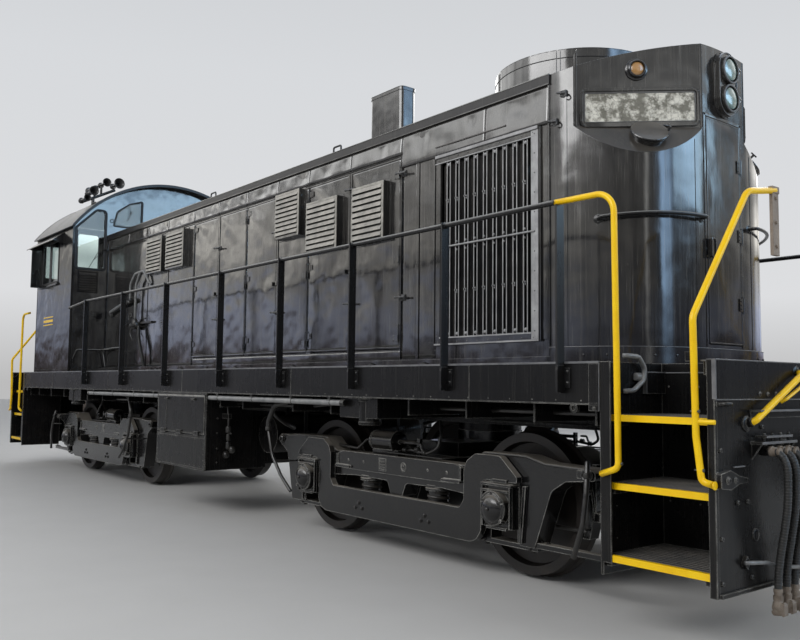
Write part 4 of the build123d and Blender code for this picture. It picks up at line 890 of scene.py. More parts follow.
    # radiator grille
    kg = kit(f"grille_{side}", mat="hood", bevel=1.0)
    # this light grey kit is painted highlight: strips along the vanes' edges, the bars, pivots and clamps
    ke = kit(f"grille_highlight_strips_{side}", mat="grille_highlight", bevel=0.5)
    box(kg, 3826, 4934, 1000, 1030, 3186, 3204)
    box(kg, 3822, 3832, 1000, 1030, 1686, 3204)
    box(ke, 3832, 4924, 1021, 1027, 3142, 3150)
    box(ke, 3836, 4924, 1020, 1034, 3190, 3212)
    box(ke, 3890, 4858, 1018, 1028, 1741, 1752)
    box(ke, 3832, 4930, 1020, 1030, 1688, 1700)
    box(ke, 4860, 4926, 1021, 1025.5, 1702, 3186)
    box(kg, 4938, 4998, 1000, 1006, 1700, 3200)
    for i in range(9):
        xc = 3983 + 102 * i
        for dx in (-18, 18):
            box(kg, xc + dx - 6, xc + dx + 6, 992, 1016, 1752, 3140)
            # a painted highlight strip along each vane's edge
            box(ke, xc + dx - 4.2, xc + dx + 3.2, 1014, 1018, 1754, 3139)
        # pivots top and bottom, and clamps at the rows
        for z in (3120, 1775):
            lathe(ke, (xc, 1006, z), (0, 1, 0), [(0, 13), (12, 12), (16, 7), (16, 0)], 10)
        for z in (2836, 2112):
            lathe(kg, (xc - 10, 1006, z), (0, 1, 0), [(0, 11), (14, 10), (22, 5), (22, 0)], 8)
            box(ke, xc - 24, xc + 4, 1016, 1024, z - 5, z + 5)
            rivet(ke, (xc - 2, 1016, z - 16), (0, 1, 0), 6)
        box(kg, xc - 10, xc + 6, 1014, 1034, 2448, 2478)
        for z in (2430, 2494):
            lathe(ke, (xc - 6, 1014, z), (0, 1, 0), [(0, 8), (10, 7), (13, 4), (13, 0)], 8)
    rod(ke, (3950, 1032, 2463), (4895, 1032, 2463), 6.5, 10)
    for i in range(10):
        for z in (1712, 3172):
            rivet(kg, (3870 + 112 * i, 1022, z), (0, 1, 0), 7)
    for z in range(1760, 3180, 140):
        rivet(kg, (4893, 1025, z), (0, 1, 0), 6)
        rivet(kg, (3852, 1022, z), (0, 1, 0), 6)
    # panel lip above the grille
    box(kf, 3822, 4600, 1004, 1020, 3285, 3297)

flip(1.0, 1.0)

# ---------------------------------------------------------------------------
# Roof of the hood, stack and fan shroud
# ---------------------------------------------------------------------------
def arch_strip(k, x0, x1, R, cz, ya, yb, h, n=18, sink=3.0):
    """A strip bent over an arched roof between two distances from the middle."""
    vs, fs = [], []
    for i in range(n + 1):
        y = ya + (yb - ya) * i / n
        for rr in (R - sink, R + h):
            s = math.sqrt(rr * rr - y * y)
            for x in (x0, x1):
                vs.append((x, y, cz + s))
    for i in range(n):
        a, b = i * 4, (i + 1) * 4
        fs += [(a, a + 1, b + 1, b), (a + 2, b + 2, b + 3, a + 3), (a, b, b + 2, a + 2), (a + 1, a + 3, b + 3, b + 1)]
    fs += [(0, 2, 3, 1), (n * 4, n * 4 + 1, n * 4 + 3, n * 4 + 2)]
    k.add(vs, fs)


ROOF_R, ROOF_CZ = 2541.0, 3765.0 - 2541.0
kr = kit("hood_roof_trim", mat="roof", bevel=1.5)
for x in (-2768, -1410, 12, 1331, 2633, 3600):
    arch_strip(kr, x - 22, x + 22, ROOF_R, ROOF_CZ, -990, 990, 6)
    for y in range(-900, 901, 150):
        z = ROOF_CZ + math.sqrt((ROOF_R + 6) ** 2 - y * y)
        rivet(kr, (x - 11, y, z), (0, y / ROOF_R, 1), 6)
        rivet(kr, (x + 11, y, z), (0, y / ROOF_R, 1), 6)
# roof hatches over the engine
for x0, x1 in ((-2500, -1650), (-1100, -300), (280, 1080), (2420, 3300)):
    arch_strip(kr, x0, x1, ROOF_R, ROOF_CZ, -520, 520, 14)
    for sy in (-1, 1):
        for x in (x0 + 120, x1 - 120):
            z = ROOF_CZ + math.sqrt(ROOF_R ** 2 - 520 ** 2)
            rod(kr, (x - 45, sy * 526, z + 8), (x + 45, sy * 526, z + 8), 10, 10)
            box(kr, x - 40, x + 40, min(sy * 480, sy * 524), max(sy * 480, sy * 524), z + 2, z + 20)
for x in (-370, 2255):
    for sy in (-1, 1):
        y = sy * 905
        z = ROOF_CZ + math.sqrt(ROOF_R ** 2 - 905 ** 2)
        pipe(kr, [(x - 62, y, z - 6), (x - 62, y, z + 66), (x + 62, y, z + 66), (x + 62, y, z - 6)], 9.5, 10, 22)
        for dx in (-62, 62):
            lathe(kr, (x + dx, y, z - 4), (0, sy * 0.35, 1), [(0, 20), (8, 18), (12, 10), (12, 0)], 12)
# stack: rolled rim, seam and base flange
kst = kit("stack_trim", mat="nose", bevel=2.0)
def stack_loop(hx, hy, r):
    return loop([(1960 - hx, -hy, r), (1960 + hx, -hy, r), (1960 + hx, hy, r), (1960 - hx, hy, r)], 8)
frame_ring(kst, "z", stack_loop(272.5, 100, 55), -2, 5, 4432, 4470)
frame_ring(kst, "z", stack_loop(272.5, 100, 55), -3, 7, 4462, 4470)
frame_ring(kst, "z", stack_loop(272.5, 100, 55), -6, 34, 3742, 3752)
frame_ring(kst, "z", stack_loop(272.5, 100, 55), -3, 4, 3990, 3998)
for i in range(10):
    a = 2 * math.pi * (i + 0.5) / 10
    bolt(kst, (1960 + 296 * math.copysign(min(1, abs(math.cos(a)) * 1.25), math.cos(a)), 118 * math.copysign(min(1, abs(math.sin(a)) * 1.4), math.sin(a)), 3752), (0, 0, 1), 9, 9)
# shroud: bead, lap seam, base ring, and the fan under its guard
ksh = kit("shroud_trim", mat="roof", bevel=1.5)
ring(ksh, (4430, 0, 3930), (0, 0, 1), 661, 5.0, 72, 8)
lathe(ksh, (4430, 0, 3862), (0, 0, 1), [(0, 664), (0, 669), (7, 669), (7, 664)], 72)
for a in (-118, -62, 20, 75, 140, 200):
    c, s_ = math.cos(math.radians(a)), math.sin(math.radians(a))
    R = 666.0
    y = R * s_
    zb = ROOF_CZ + math.sqrt(ROOF_R ** 2 - y * y)
    for t in (-1, 1):
        aa = math.radians(a) + t * 0.022
        pipe(ksh, [(4430 + 667 * math.cos(aa), 667 * math.sin(aa), zb + 4), (4430 + 667 * math.cos(aa), 667 * math.sin(aa), 3922)], 2.6, 6)
base = []
vs, fs = [], []
N = 72
for i in range(N):
    a = 2 * math.pi * i / N
    for rr, dz in ((663, 14), (671, 14), (700, 9), (700, 1), (663, 1)):
        x, y = 4430 + rr * math.cos(a), rr * math.sin(a)
        vs.append((x, y, ROOF_CZ + math.sqrt(ROOF_R ** 2 - y * y) + dz))
for i in range(N):
    j = (i + 1) % N
    for m in range(5):
        fs.append((i * 5 + m, i * 5 + (m + 1) % 5, j * 5 + (m + 1) % 5, j * 5 + m))
ksh.add(vs, fs)
for i in range(24):
    a = 2 * math.pi * (i + 0.5) / 24
    x, y = 4430 + 686 * math.cos(a), 686 * math.sin(a)
    rivet(ksh, (x, y, ROOF_CZ + math.sqrt(ROOF_R ** 2 - y * y) + 9), (0, 0, 1), 7)
for n_ in (-3, -1, 1, 3):
    half = math.sqrt(640.0 ** 2 - (n_ * 170.0) ** 2)
    pipe(ksh, [(4430 + n_ * 170, -half, 3902), (4430 + n_ * 170, half, 3902)], 5, 8)
kfan = kit("cooling_fan", mat="roof", bevel=1.0)
lathe(kfan, (4430, 0, 3700), (0, 0, 1), [(0, 120), (90, 120), (120, 95), (128, 60), (128, 0)], 28)
for i in range(6):
    a = math.radians(60 * i)
    R3 = Matrix.Rotation(a, 3, "Z")
    vs = []
    for r_, tw, w in ((100, 38, 90), (330, 28, 120), (590, 20, 150)):
        for sgn in (-1, 1):
            dz = sgn * w * math.sin(math.radians(tw))
            dt = sgn * w * math.cos(math.radians(tw))
            for th in (-3, 3):
                p = R3 @ Vector((r_, dt, 3760 + dz + th))
                vs.append((4430 + p.x, p.y, p.z))
    fs = []
    for s0 in (0, 4):
        a0, b0 = s0, s0 + 4
        fs += [(a0, a0 + 2, b0 + 2, b0), (a0 + 1, b0 + 1, b0 + 3, a0 + 3), (a0, b0, b0 + 1, a0 + 1), (a0 + 2, a0 + 3, b0 + 3, b0 + 2)]
    fs += [(0, 1, 3, 2), (8, 10, 11, 9)]
    kfan.add(vs, fs)


# ---------------------------------------------------------------------------
# Nose: number boards, class lamps, filler caps, headlights, grab irons, door furniture
# ---------------------------------------------------------------------------
CHORD_A, CHORD_B = Vector((5210.0, 968.0)), Vector((5745.0, 272.0))
CH_L = (CHORD_B - CHORD_A).length
CH_T = (CHORD_B - CHORD_A) / CH_L
CH_N = Vector((-CH_T.y, CH_T.x)) if -CH_T.y > 0 else Vector((CH_T.y, -CH_T.x))


def corner(s, z, out=0.0):
    """A point on the flat corner panel: s along it from the side, z up, out from it."""
    p = CHORD_A + CH_T * s + CH_N * out
    return (p.x, p.y, z)


def corner_prism(k, pts, a, b):
    n = len(pts)
    vs = [corner(s, z, a) for s, z in pts] + [corner(s, z, b) for s, z in pts]
    fs = [tuple(range(n)), tuple(range(2 * n - 1, n - 1, -1))] + [(i, (i + 1) % n, n + (i + 1) % n, n + i) for i in range(n)]
    k.add(vs, fs)


def corner_ring(k, pts, inner, outer, a, b):
    A, B = grown(pts, inner), grown(pts, outer)
    n = len(pts)
    vs = [corner(s, z, a) for s, z in A] + [corner(s, z, a) for s, z in B] + [corner(s, z, b) for s, z in B] + [corner(s, z, b) for s, z in A]
    fs = []
    for i in range(n):
        j = (i + 1) % n
        for r0, r1 in ((0, 1), (1, 2), (2, 3), (3, 0)):
            fs.append((r0 * n + i, r0 * n + j, r1 * n + j, r1 * n + i))
    k.add(vs, fs)


CN3 = (CH_N.x, CH_N.y, 0.0)
for side, sy in SIDES:
    flip(1.0, sy)
    kn = kit(f"nose_trim_{side}", mat="nose", bevel=1.5)
    # board: glass behind a rounded frame, bare of any figures
    board = loop([(52, 3160, 26), (842, 3186, 26), (842, 3418, 34), (52, 3392, 34)], 6)
    kb = kit(f"number_board_{side}", mat="board", slot="cab_glass", bevel=0.0)
    corner_prism(kb, grown(board, -4), 1.0, 6.0)
    corner_ring(kn, board, -2, 20, 0.5, 16)
    corner_ring(kn, board, -16, 0, 3.0, 9)
    kw_ = kit(f"nose_edges_{side}", mat="pale_edge", bevel=0.5)
    corner_ring(kw_, board, -17, -14, 4.0, 10.2)
    for i in range(0, len(board), 4):
        s, z = grown(board, 10)[i]
        rivet(kn, corner(s, z, 16), CN3, 5)
    # class lamp
    kc = kit(f"class_lamp_{side}", mat="amber", slot="cab_glass", bevel=0.0)
    c0 = corner(425, 3553, 0)
    lathe(kn, c0, CN3, [(0, 78), (10, 76), (14, 70), (14, 66), (34, 62), (40, 56), (40, 50), (22, 48), (22, 0)], 32)
    lathe(kc, c0, CN3, [(23, 49), (30, 44), (35, 30), (37, 0)], 28)
    for i in range(4):
        a = math.pi / 4 + math.pi / 2 * i
        p = corner(425 + 70 * math.cos(a), 3553 + 70 * math.sin(a), 11)
        rivet(kn, p, CN3, 5)
    box(kn, c0[0] - 6, c0[0] + 6, c0[1] - 6, c0[1] + 6, 3627, 3640, ("Z", math.degrees(math.atan2(CH_N.y, CH_N.x))))
    # panel joint lines up the edges
    corner_prism(kn, [(-4, 3150), (14, 3150), (14, 3690), (-4, 3650)], -3, 4.5)
    corner_prism(kn, [(CH_L - 14, 3160), (CH_L + 4, 3160), (CH_L + 4, 3745), (CH_L - 14, 3742)], -3, 4.5)
    # filler cap on the sloping ledge under the board
    slope = math.radians(47.0)
    nrm = Vector((CH_N.x * math.sin(slope), CH_N.y * math.sin(slope), math.cos(slope))).normalized()
    foot = Vector(corner(488, 3083, 62))
    lathe(kn, tuple(foot - nrm * 26), tuple(nrm), [(0, 108), (34, 108), (36, 126), (54, 128), (59, 124), (60, 80), (60, 0)], 48)
    side_v = Vector((CH_T.x, CH_T.y, 0))
    up_v = nrm.cross(side_v)
    a = foot + nrm * 50
    for t in (1,):
        p = a + side_v * 128
        rod(kn, tuple(p - nrm * 18), tuple(p + nrm * 18), 9, 10)
        rod(kn, tuple(p + up_v * 26 + nrm * 16), tuple(p - up_v * 26 + nrm * 16), 6, 8)
        rod(kn, tuple(p + nrm * 14), tuple(p - side_v * 46 + nrm * 22), 5, 8)
    # grab iron round the corner
    z0 = 2497.0
    pts = []
    for i in range(11):
        t = math.radians(30 + (87 - 30) * i / 10)
        R = 725.0 + 58
        pts.append((5020 + R * math.sin(t), 275 + R * math.cos(t), z0 + 10 * math.sin(math.pi * i / 10) + 25 * i / 10))
    s0 = Vector((5020 + 722 * math.sin(math.radians(28)), 275 + 722 * math.cos(math.radians(28)), z0 - 4))
    s1 = Vector((5020 + 722 * math.sin(math.radians(87)), 275 + 722 * math.cos(math.radians(87)), z0 + 24))
    kg2 = kit(f"nose_grab_{side}", mat="rail", slot="frame_black", bevel=0.6)
    pipe(kg2, [s0] + pts + [s1], 12.5, 12, 22)
    for p, ang in ((s0, 28), (s1, 87)):
        nv = (math.sin(math.radians(ang)), math.cos(math.radians(ang)), 0)
        lathe(kg2, tuple(p - Vector(nv) * 3), nv, [(0, 34), (6, 33), (9, 24), (12, 18), (12, 0)], 16)
        for dz in (-22, 22):
            bolt(kg2, (p.x + nv[0] * 4, p.y + nv[1] * 4, p.z + dz), nv, 6, 6, False)
    # upright joint covers on the curved corner, and a light line round its foot
    for t in (10, 57, 84):
        tt = math.radians(t)
        x, y = 5020 + 725 * math.sin(tt), 275 + 725 * math.cos(tt)
        top = {10: 3400, 57: 2930, 84: 3060}[t]
        z = (1600, top)
        n2 = Vector((math.sin(tt), math.cos(tt), 0))
        t2 = Vector((math.cos(tt), -math.sin(tt), 0))
        vs = []
        for zz in z:
            for a_, b_ in ((-11, -2), (11, -2), (11, 3.2), (-11, 3.2)):
                q = Vector((x, y, zz)) + t2 * a_ + n2 * b_
                vs.append(tuple(q))
        kn.add(vs, [(0, 3, 2, 1), (4, 5, 6, 7), (0, 1, 5, 4), (1, 2, 6, 5), (2, 3, 7, 6), (3, 0, 4, 7)])
    # bead along the plinth
    arc = [(5020 - 4, 1014, 1641)] + [(5020 + 739 * math.sin(math.radians(a_)), 275 + 739 * math.cos(math.radians(a_)), 1641) for a_ in range(0, 91, 6)] + [(5759, 0, 1641)]
    pipe(kw_, arc, 3.0, 6)
    for a_ in range(8, 90, 12):
        aa = math.radians(a_)
        bolt(kn, (5020 + 739 * math.sin(aa), 275 + 739 * math.cos(aa), 1585), (math.sin(aa), math.cos(aa), 0), 8, 7, False)
flip(1.0, 1.0)

# nose door: seams, handle ring, panel skin
kd = kit("nose_door_trim", "nose_door_body", "nose", bevel=1.2)
kds = kit("nose_door_skin", "nose_door_body", "nose", bevel=0, closed=False)
vs, fs = [], []
ny, nz = 14, 52
for i in range(ny + 1):
    for j in range(nz + 1):
        u, v = i / ny, j / nz
        y, z = -229 + (184 + 229) * u, 1680 + (3237 - 1680) * v
        e = (1 - abs(2 * u - 1) ** 6) * (1 - abs(2 * v - 1) ** 14)
        d = e * (2.6 * noise.noise(Vector((y / 300, 4.2, z / 600))) + 2.5 * math.cos((u - 0.5) * math.pi))
        vs.append((5749 + 2.0 + max(d, -1.4), y, z))
for i in range(ny):
    for j in range(nz):
        w = nz + 1
        fs.append((i * w + j, (i + 1) * w + j, (i + 1) * w + j + 1, i * w + j + 1))
kds.add(vs, fs)
for y0, y1, z0, z1 in ((-234, -226, 1674, 3242), (181, 189, 1674, 3242), (-234, 189, 1674, 1684), (-234, 189, 3232, 3242)):
    box(kd, 5745, 5753, y0, y1, z0, z1)
box(kd, 5749, 5757, -226, -186, 2272, 2388)
frame_ring(kd, "x", loop([(-232, 2262, 16), (-180, 2262, 16), (-180, 2392, 16), (-232, 2392, 16)], 4), -8, 4, 5766, 5782)
for z in (1960, 2450, 2950):
    rod(kd, (5757, 200, z - 62), (5757, 200, z + 62), 4, 10)
    for dz in (-28, 0, 28):
        bolt(kd, (5760, 165, z + dz), (1, 0, 0), 6, 5, False)
# doorway frame on the shell
knf = kit("nose_door_frame", mat="hood", bevel=1.5)
for y0, y1, z0, z1 in ((-262, -241, 1650, 3266), (197, 216, 1650, 3266), (-262, 216, 3249, 3268)):
    box(knf, 5742, 5750, y0, y1, z0, z1)
for y in (-251, 207):
    for z in range(1700, 3250, 155):
        rivet(knf, (5750, y, z), (1, 0, 0), 5)

# headlights, front and rear
for s, xf, zm in ((1.0, 5745.0, 3512.0), (-1.0, 5290.0, 3830.0)):
    flip(s, 1.0)
    nm = "front" if s > 0 else "rear"
    kh = kit(f"headlight_case_{nm}", mat="hood", bevel=1.5)
    kl = kit(f"headlight_lens_{nm}", mat="lens", slot="cab_glass", bevel=0.0)
    kc = kit(f"headlight_rim_{nm}", mat="pale_edge", bevel=0.8)
    X = xf + 41
    out = loop([(-112.5, zm - 112.5, 112.5), (112.5, zm - 112.5, 112.5), (112.5, zm + 112.5, 112.5), (-112.5, zm + 112.5, 112.5)], 10)
    out = [(math.cos(a) * 112.5, zm + (112.5 if math.sin(a) > 0 else -112.5) + math.sin(a) * 112.5) for a in [2 * math.pi * i / 40 + 0.0001 for i in range(40)]]
    frame_ring(kh, "x", out, -9, 3, X - 40, X + 4)
    frame_ring(kh, "x", out, -1, 12, X - 40, X - 30)
    frame_ring(kc, "x", out, -4, 1.5, X + 3, X + 7)
    for dz in (-103, 103):
        z = zm - 4 + dz
        lathe(kh, (X, 0, z), (1, 0, 0), [(-2, 99), (26, 99), (30, 96), (30, 86), (18, 84), (18, 0)], 40)
        lathe(kc, (X, 0, z), (1, 0, 0), [(24, 99.5), (27, 100.5), (32, 97), (33, 90), (30, 86), (24, 86)], 40)
        lathe(kl, (X, 0, z), (1, 0, 0), [(19, 86), (26, 70), (30, 40), (31.5, 0)], 36)
        # retaining clip at the side
        for q in (1,):
            box(kh, X + 8, X + 30, 92, 112, z + 6, z + 24)
            rod(kh, (X + 30, 96, z + 15), (X + 30, 124, z + 15), 5, 8)
            rod(kh, (X + 22, 112, z - 6), (X + 22, 112, z + 36), 5, 8)
        for i in range(6):
            a = math.pi / 6 + i * math.pi / 3
            rivet(kh, (X + 30, 92 * math.cos(a), z + 92 * math.sin(a)), (1, 0, 0), 3.6)
    for a in (20, 70, 110, 160, 200, 250, 290, 340):
        aa = math.radians(a)
        bolt(kh, (X - 30, 120 * math.cos(aa), zm + (112 if math.sin(aa) > 0 else -112) + 120 * math.sin(aa)), (1, 0, 0), 6, 6, False)
flip(1.0, 1.0)


# ---------------------------------------------------------------------------
# Cab
# ---------------------------------------------------------------------------
SIDE_WINDOW = (-5090.0, -4262.0, 2865.0, 3540.0)
FRONT_WINDOW = [(1048, 3032, 45), (1475, 3032, 45), (1475, 3640, 60), (1190, 3925, 70), (1048, 3925, 60)]
UPPER_WINDOW = [(500, 3720, 20), (930, 3720, 20), (880, 3940, 90), (700, 4075, 90), (500, 4145, 25)]
for side, sy in SIDES:
    flip(1.0, sy)
    kc = kit(f"cab_trim_{side}", mat="cab", bevel=1.2)
    kgk = kit(f"cab_gaskets_{side}", mat="gasket", slot="hose_rubber", bevel=1.5)
    ke = kit(f"cab_edges_{side}", mat="pale_edge", bevel=0.6)
    x0, x1, z0, z1 = SIDE_WINDOW
    win = [(x0, z0), (x1, z0), (x1, z1), (x0, z1)]
    # window frame, track and the two sashes
    frame_ring(kc, "y", win, -2, 26, 1523, 1531)
    frame_ring(kgk, "y", win, -16, 0, 1496, 1526)
    xm = -4668.0
    box(kgk, xm - 24, xm + 24, 1498, 1520, z0 + 2, z1 - 2)
    box(ke, xm - 4, xm + 3, 1518, 1522, z0 + 8, z1 - 8)
    for a, b in ((x0 + 12, xm - 20), (xm + 20, x1 - 12)):
        frame_ring(kgk, "y", [(a, z0 + 12), (b, z0 + 12), (b, z1 - 12), (a, z1 - 12)], -22, 0, 1500, 1518)
        frame_ring(ke, "y", [(a, z0 + 12), (b, z0 + 12), (b, z1 - 12), (a, z1 - 12)], -24, -20, 1516, 1520)
    box(kc, x0 - 26, x1 + 26, 1523, 1562, z0 - 34, z0 - 22)
    box(kc, x1 - 60, x1 + 40, 1523, 1548, z0 - 24, z0 - 4)
    lathe(kc, (x1 + 6, 1536, z0 - 2), (0, 0, 1), [(0, 13), (16, 12), (20, 6), (20, 0)], 12)
    for x in range(int(x0) + 30, int(x1), 100):
        rivet(kc, (x, 1531, z1 + 14), (0, 1, 0), 4.5)
        rivet(kc, (x, 1531, z0 - 14), (0, 1, 0), 4.5)
    # wind wing frame beside the window
    for ya, yb, za, zb in ((1524, 1534, 2850, 3460), (1672, 1684, 2850, 3460), (1524, 1684, 2850, 2866), (1524, 1684, 3446, 3461)):
        box(kgk, -5114, -5100, ya, yb, za, zb)
    for z in (2900, 3160, 3410):
        rod(kc, (-5107, 1531, z - 30), (-5107, 1531, z + 30), 7, 10)
    # awning: rolled outer edge, its seam, and rivets
    slope = math.atan2(118, 167)
    pipe(ke, [(-5388, 1685, 3476), (-4022, 1685, 3476)], 4.0, 8)
    box(kc, -5390, -4020, 1520, 1528, 3586, 3640)
    for x in range(-5350, -4030, 110):
        rivet(kc, (x, 1528, 3625), (0, 1, 0), 4.5)
    # upright seams and rivets of the cab side
    for x in (-5281, -4172, -3631):
        for z in range(1570, 3640 if x > -5200 else 3560, 85):
            if x == -4172 and z > 2830:
                continue
            rivet(kc, (x, 1524, z), (0, 1, 0), 3.6)
    box(kc, -5290, -3620, 1522, 1527.5, 1524, 1560)
    box(kc, -3628, -3617, 1505, 1527, 1524, 3660)
    box(kc, -5293, -5282, 1505, 1527, 1524, 3660)
    # roof gutter and its bright edge
    R, cz = 1930.0, 4450.0 - 1930.0
    ye = 1573.0
    ze = cz + math.sqrt(R * R - ye * ye)
    pipe(ke, [(-5408, ye - 2, ze - 8), (-3502, ye - 2, ze - 8)], 5.5, 8)
    for xf in (-3504, -5406):
        rows = []
        for i in range(25):
            y = ye * i / 24
            rows.append((xf, y, cz + math.sqrt((R + 1) ** 2 - y * y)))
        pipe(ke, rows, 4.5, 8)
    # front wall: gaskets, sash, wiper, louvred panel
    if sy < 0:
        fw = loop(FRONT_WINDOW, 6)
        frame_ring(kgk, "x", fw, -16, 0, -3652, -3617)
        frame_ring(kgk, "x", fw, -3, 16, -3620, -3608)
        frame_ring(ke, "x", fw, -17, -14.5, -3628, -3614)
        pipe(kc, [(-3604, 1050, 3345), (-3596, 1222, 3172)], 4, 8)
        pipe(kgk, [(-3600, 1140, 3330), (-3598, 1222, 3172), (-3600, 1290, 3040)], 4.5, 6)
        lathe(kc, (-3622, 1052, 3345), (1, 0, 0), [(0, 24), (10, 22), (16, 14), (24, 10), (24, 0)], 14)
        frame_ring(kc, "x", [(1150, 2690), (1430, 2690), (1430, 2990), (1150, 2990)], -12, 8, -3622, -3612)
        for i in range(7):
            z = 2712 + 36 * i
            prism(kc, "y", [(-3621, z + 24), (-3618, z + 26), (-3604, z + 2), (-3608, z - 2)], 1166, 1414)
        # grab iron and step-down pipe on the front wall
        pipe(kit("cab_front_pipes", mat="rail", slot="frame_black", bevel=0.5), [(-3600, 1470, 1560), (-3600, 1466, 1700), (-3590, 1420, 1838), (-3520, 1100, 1842), (-3300, 1046, 1842)], 9, 10, 40)
        for z in range(1700, 2640, 150):
            rivet(kc, (-3620, 1500, z), (1, 0, 0), 4)
            rivet(kc, (-3620, 1030, z), (1, 0, 0), 4)
    uw = loop(UPPER_WINDOW, 6)
    frame_ring(kgk, "x", uw, -12, 0, -3652, -3617)
    frame_ring(kgk, "x", uw, -2, 14, -3620, -3610)
    pipe(kc, [(-3606, 700, 4060), (-3600, 690, 3900)], 4, 6)
    pipe(kgk, [(-3602, 640, 3990), (-3600, 690, 3900), (-3602, 720, 3820)], 4, 6)
    ring(kit("cab_roof_rings", mat="rail", slot="frame_black", bevel=0), (-3602, 960, 3790), (1, 0, 0), 26, 4, 24, 6)
    # jog seam along the roof and rivets over the end arches
    kcr = kit("cab_roof_trim", mat="roof", bevel=1.2)
    for x in (-5200, -4455, -3710):
        arch_strip(kcr, x - 20, x + 20, R, cz, -1560 if sy < 0 else 0, 0 if sy < 0 else 1560, 5, 14)
        for y in range(120, 1560, 120):
            z = cz + math.sqrt((R + 5) ** 2 - y * y)
            rivet(kcr, (x, y, z), (0, y / R, math.sqrt(1 - (y / R) ** 2)), 5)
flip(1.0, 1.0)
# roof hatch and vent
kcr = kit("cab_roof_trim")
arch_strip(kcr, -4900, -4250, 1930.0, 2520.0, -360, 360, 22, 12)
lathe(kcr, (-4330, 560, 4360), (0, 0.28, 1), [(0, 70), (50, 66), (54, 96), (70, 96), (84, 60), (88, 0)], 24)
# cab doors: gaskets, kick strips, handles, hinge pins
kdf = kit("cab_door_front_trim", "cab_door_front_body", "cab", bevel=1.2)
kdg = kit("cab_door_front_gasket", "cab_door_front_body", "gasket", "hose_rubber", bevel=1.5)
kdp = kit("cab_door_front_pane", "cab_door_front_body", "glass", "cab_glass", bevel=0)
wf = [(1100, 2780), (1422, 2780), (1422, 3480), (1100, 3480)]
frame_ring(kdg, "x", wf, -14, 0, -3646, -3612)
frame_ring(kdf, "x", wf, 0, 22, -3617, -3611)
box(kdp, -3634, -3628, 1101, 1421, 2781, 3479)
box(kdf, -3617, -3611, 1060, 1462, 1660, 1900)
frame_ring(kdf, "x", [(1090, 1980), (1432, 1980), (1432, 2680), (1090, 2680)], -10, 0, -3617, -3612)
for y in (1072, 1450):
    for z in range(1700, 3540, 140):
        rivet(kdf, (-3616, y, z), (1, 0, 0), 4)
rod(kdf, (-3574, 1437, 2270), (-3574, 1437, 2450), 9, 12)
for z in (1850, 2500, 3400):
    rod(kdf, (-3608, 1033, z - 60), (-3608, 1033, z + 60), 4, 8)
kdr = kit("cab_door_rear_trim", "cab_door_rear_body", "cab", bevel=1.2)
kdrg = kit("cab_door_rear_gasket", "cab_door_rear_body", "gasket", "hose_rubber", bevel=1.5)
kdrp = kit("cab_door_rear_pane", "cab_door_rear_body", "glass", "cab_glass", bevel=0)
wr = loop([(-932, 3235, 60), (-572, 3235, 60), (-572, 3835, 60), (-932, 3835, 60)], 6)
frame_ring(kdrg, "x", wr, -12, 0, -5298, -5262)
frame_ring(kdr, "x", wr, 0, 22, -5299, -5293)
prism(kdrp, "x", grown(wr, -2), -5282, -5276)
box(kdr, -5299, -5293, -1062, -448, 1660, 1900)
frame_ring(kdr, "x", [(-1020, 1980), (-490, 1980), (-490, 3100), (-1020, 3100)], -10, 0, -5298, -5293)
for y in (-1066, -444):
    for z in range(1700, 3900, 150):
        rivet(kdr, (-5294, y, z), (-1, 0, 0), 4)
rod(kdr, (-5338, -485, 2270), (-5338, -485, 2450), 9, 12)
for z in (1850, 2700, 3700):
    rod(kdr, (-5302, -1087, z - 60), (-5302, -1087, z + 60), 4, 8)
# rear wall: window gaskets and rivet lines
krw = kit("cab_rear_trim", mat="cab", bevel=1.2)
krg = kit("cab_rear_gaskets", mat="gasket", slot="hose_rubber", bevel=1.5)
for y0, y1 in ((-1420, -1160), (480, 1400), (-330, 330)):
    w = loop([(y0, 3030, 20), (y1, 3030, 20), (y1, 3560, 20), (y0, 3560, 20)], 3)
    frame_ring(krg, "x", w, -10, 0, -5292, -5258)
    frame_ring(krw, "x", w, 0, 22, -5296, -5288)
for y in (-1495, -1120, -390, 390, 1495):
    for z in range(1580, 3000, 130):
        rivet(krw, (-5289, y, z), (-1, 0, 0), 4)
# cab inside: stand top, brake stand, seat cushions
kin = kit("cab_inside_trim", mat="inside", slot="cab_green", bevel=4.0, segs=2)
box(kin, -4060, -3735, -1040, -630, 2650, 2700, ("Y", 0))
for y in (-980, -900, -820, -740):
    lathe(kin, (-3990, y, 2700), (-0.5, 0, 1), [(0, 34), (8, 34), (10, 28), (10, 0)], 16)
rod(kin, (-4040, -1000, 2640), (-4220, -1010, 2680), 12, 10)
rod(kin, (-4180, -1130, 1600), (-4180, -1130, 2500), 45, 16)
lathe(kin, (-4180, -1130, 2500), (0, 0, 1), [(0, 75), (50, 75), (60, 50), (60, 0)], 20)
rod(kin, (-4180, -1130, 2575), (-4330, -1060, 2600), 10, 10)
# dark board behind the upper pane on the door side: painted shade, a dark sheet standing in for the dark seen in that
# window
kbl = kit("cab_upper_painted_shade", mat="gasket", slot="hose_rubber", bevel=1.0)
box(kbl, -3656, -3646, -965, -470, 3690, 4140)
ksc = kit("cab_seats", mat="seat", slot="hose_rubber", bevel=24.0, segs=3)
for q in (-1, 1):
    box(ksc, -4845, -4395, q * 1120 - 225, q * 1120 + 225, 2202, 2285)
    box(ksc, -4862, -4775, q * 1120 - 215, q * 1120 + 215, 2290, 2735)


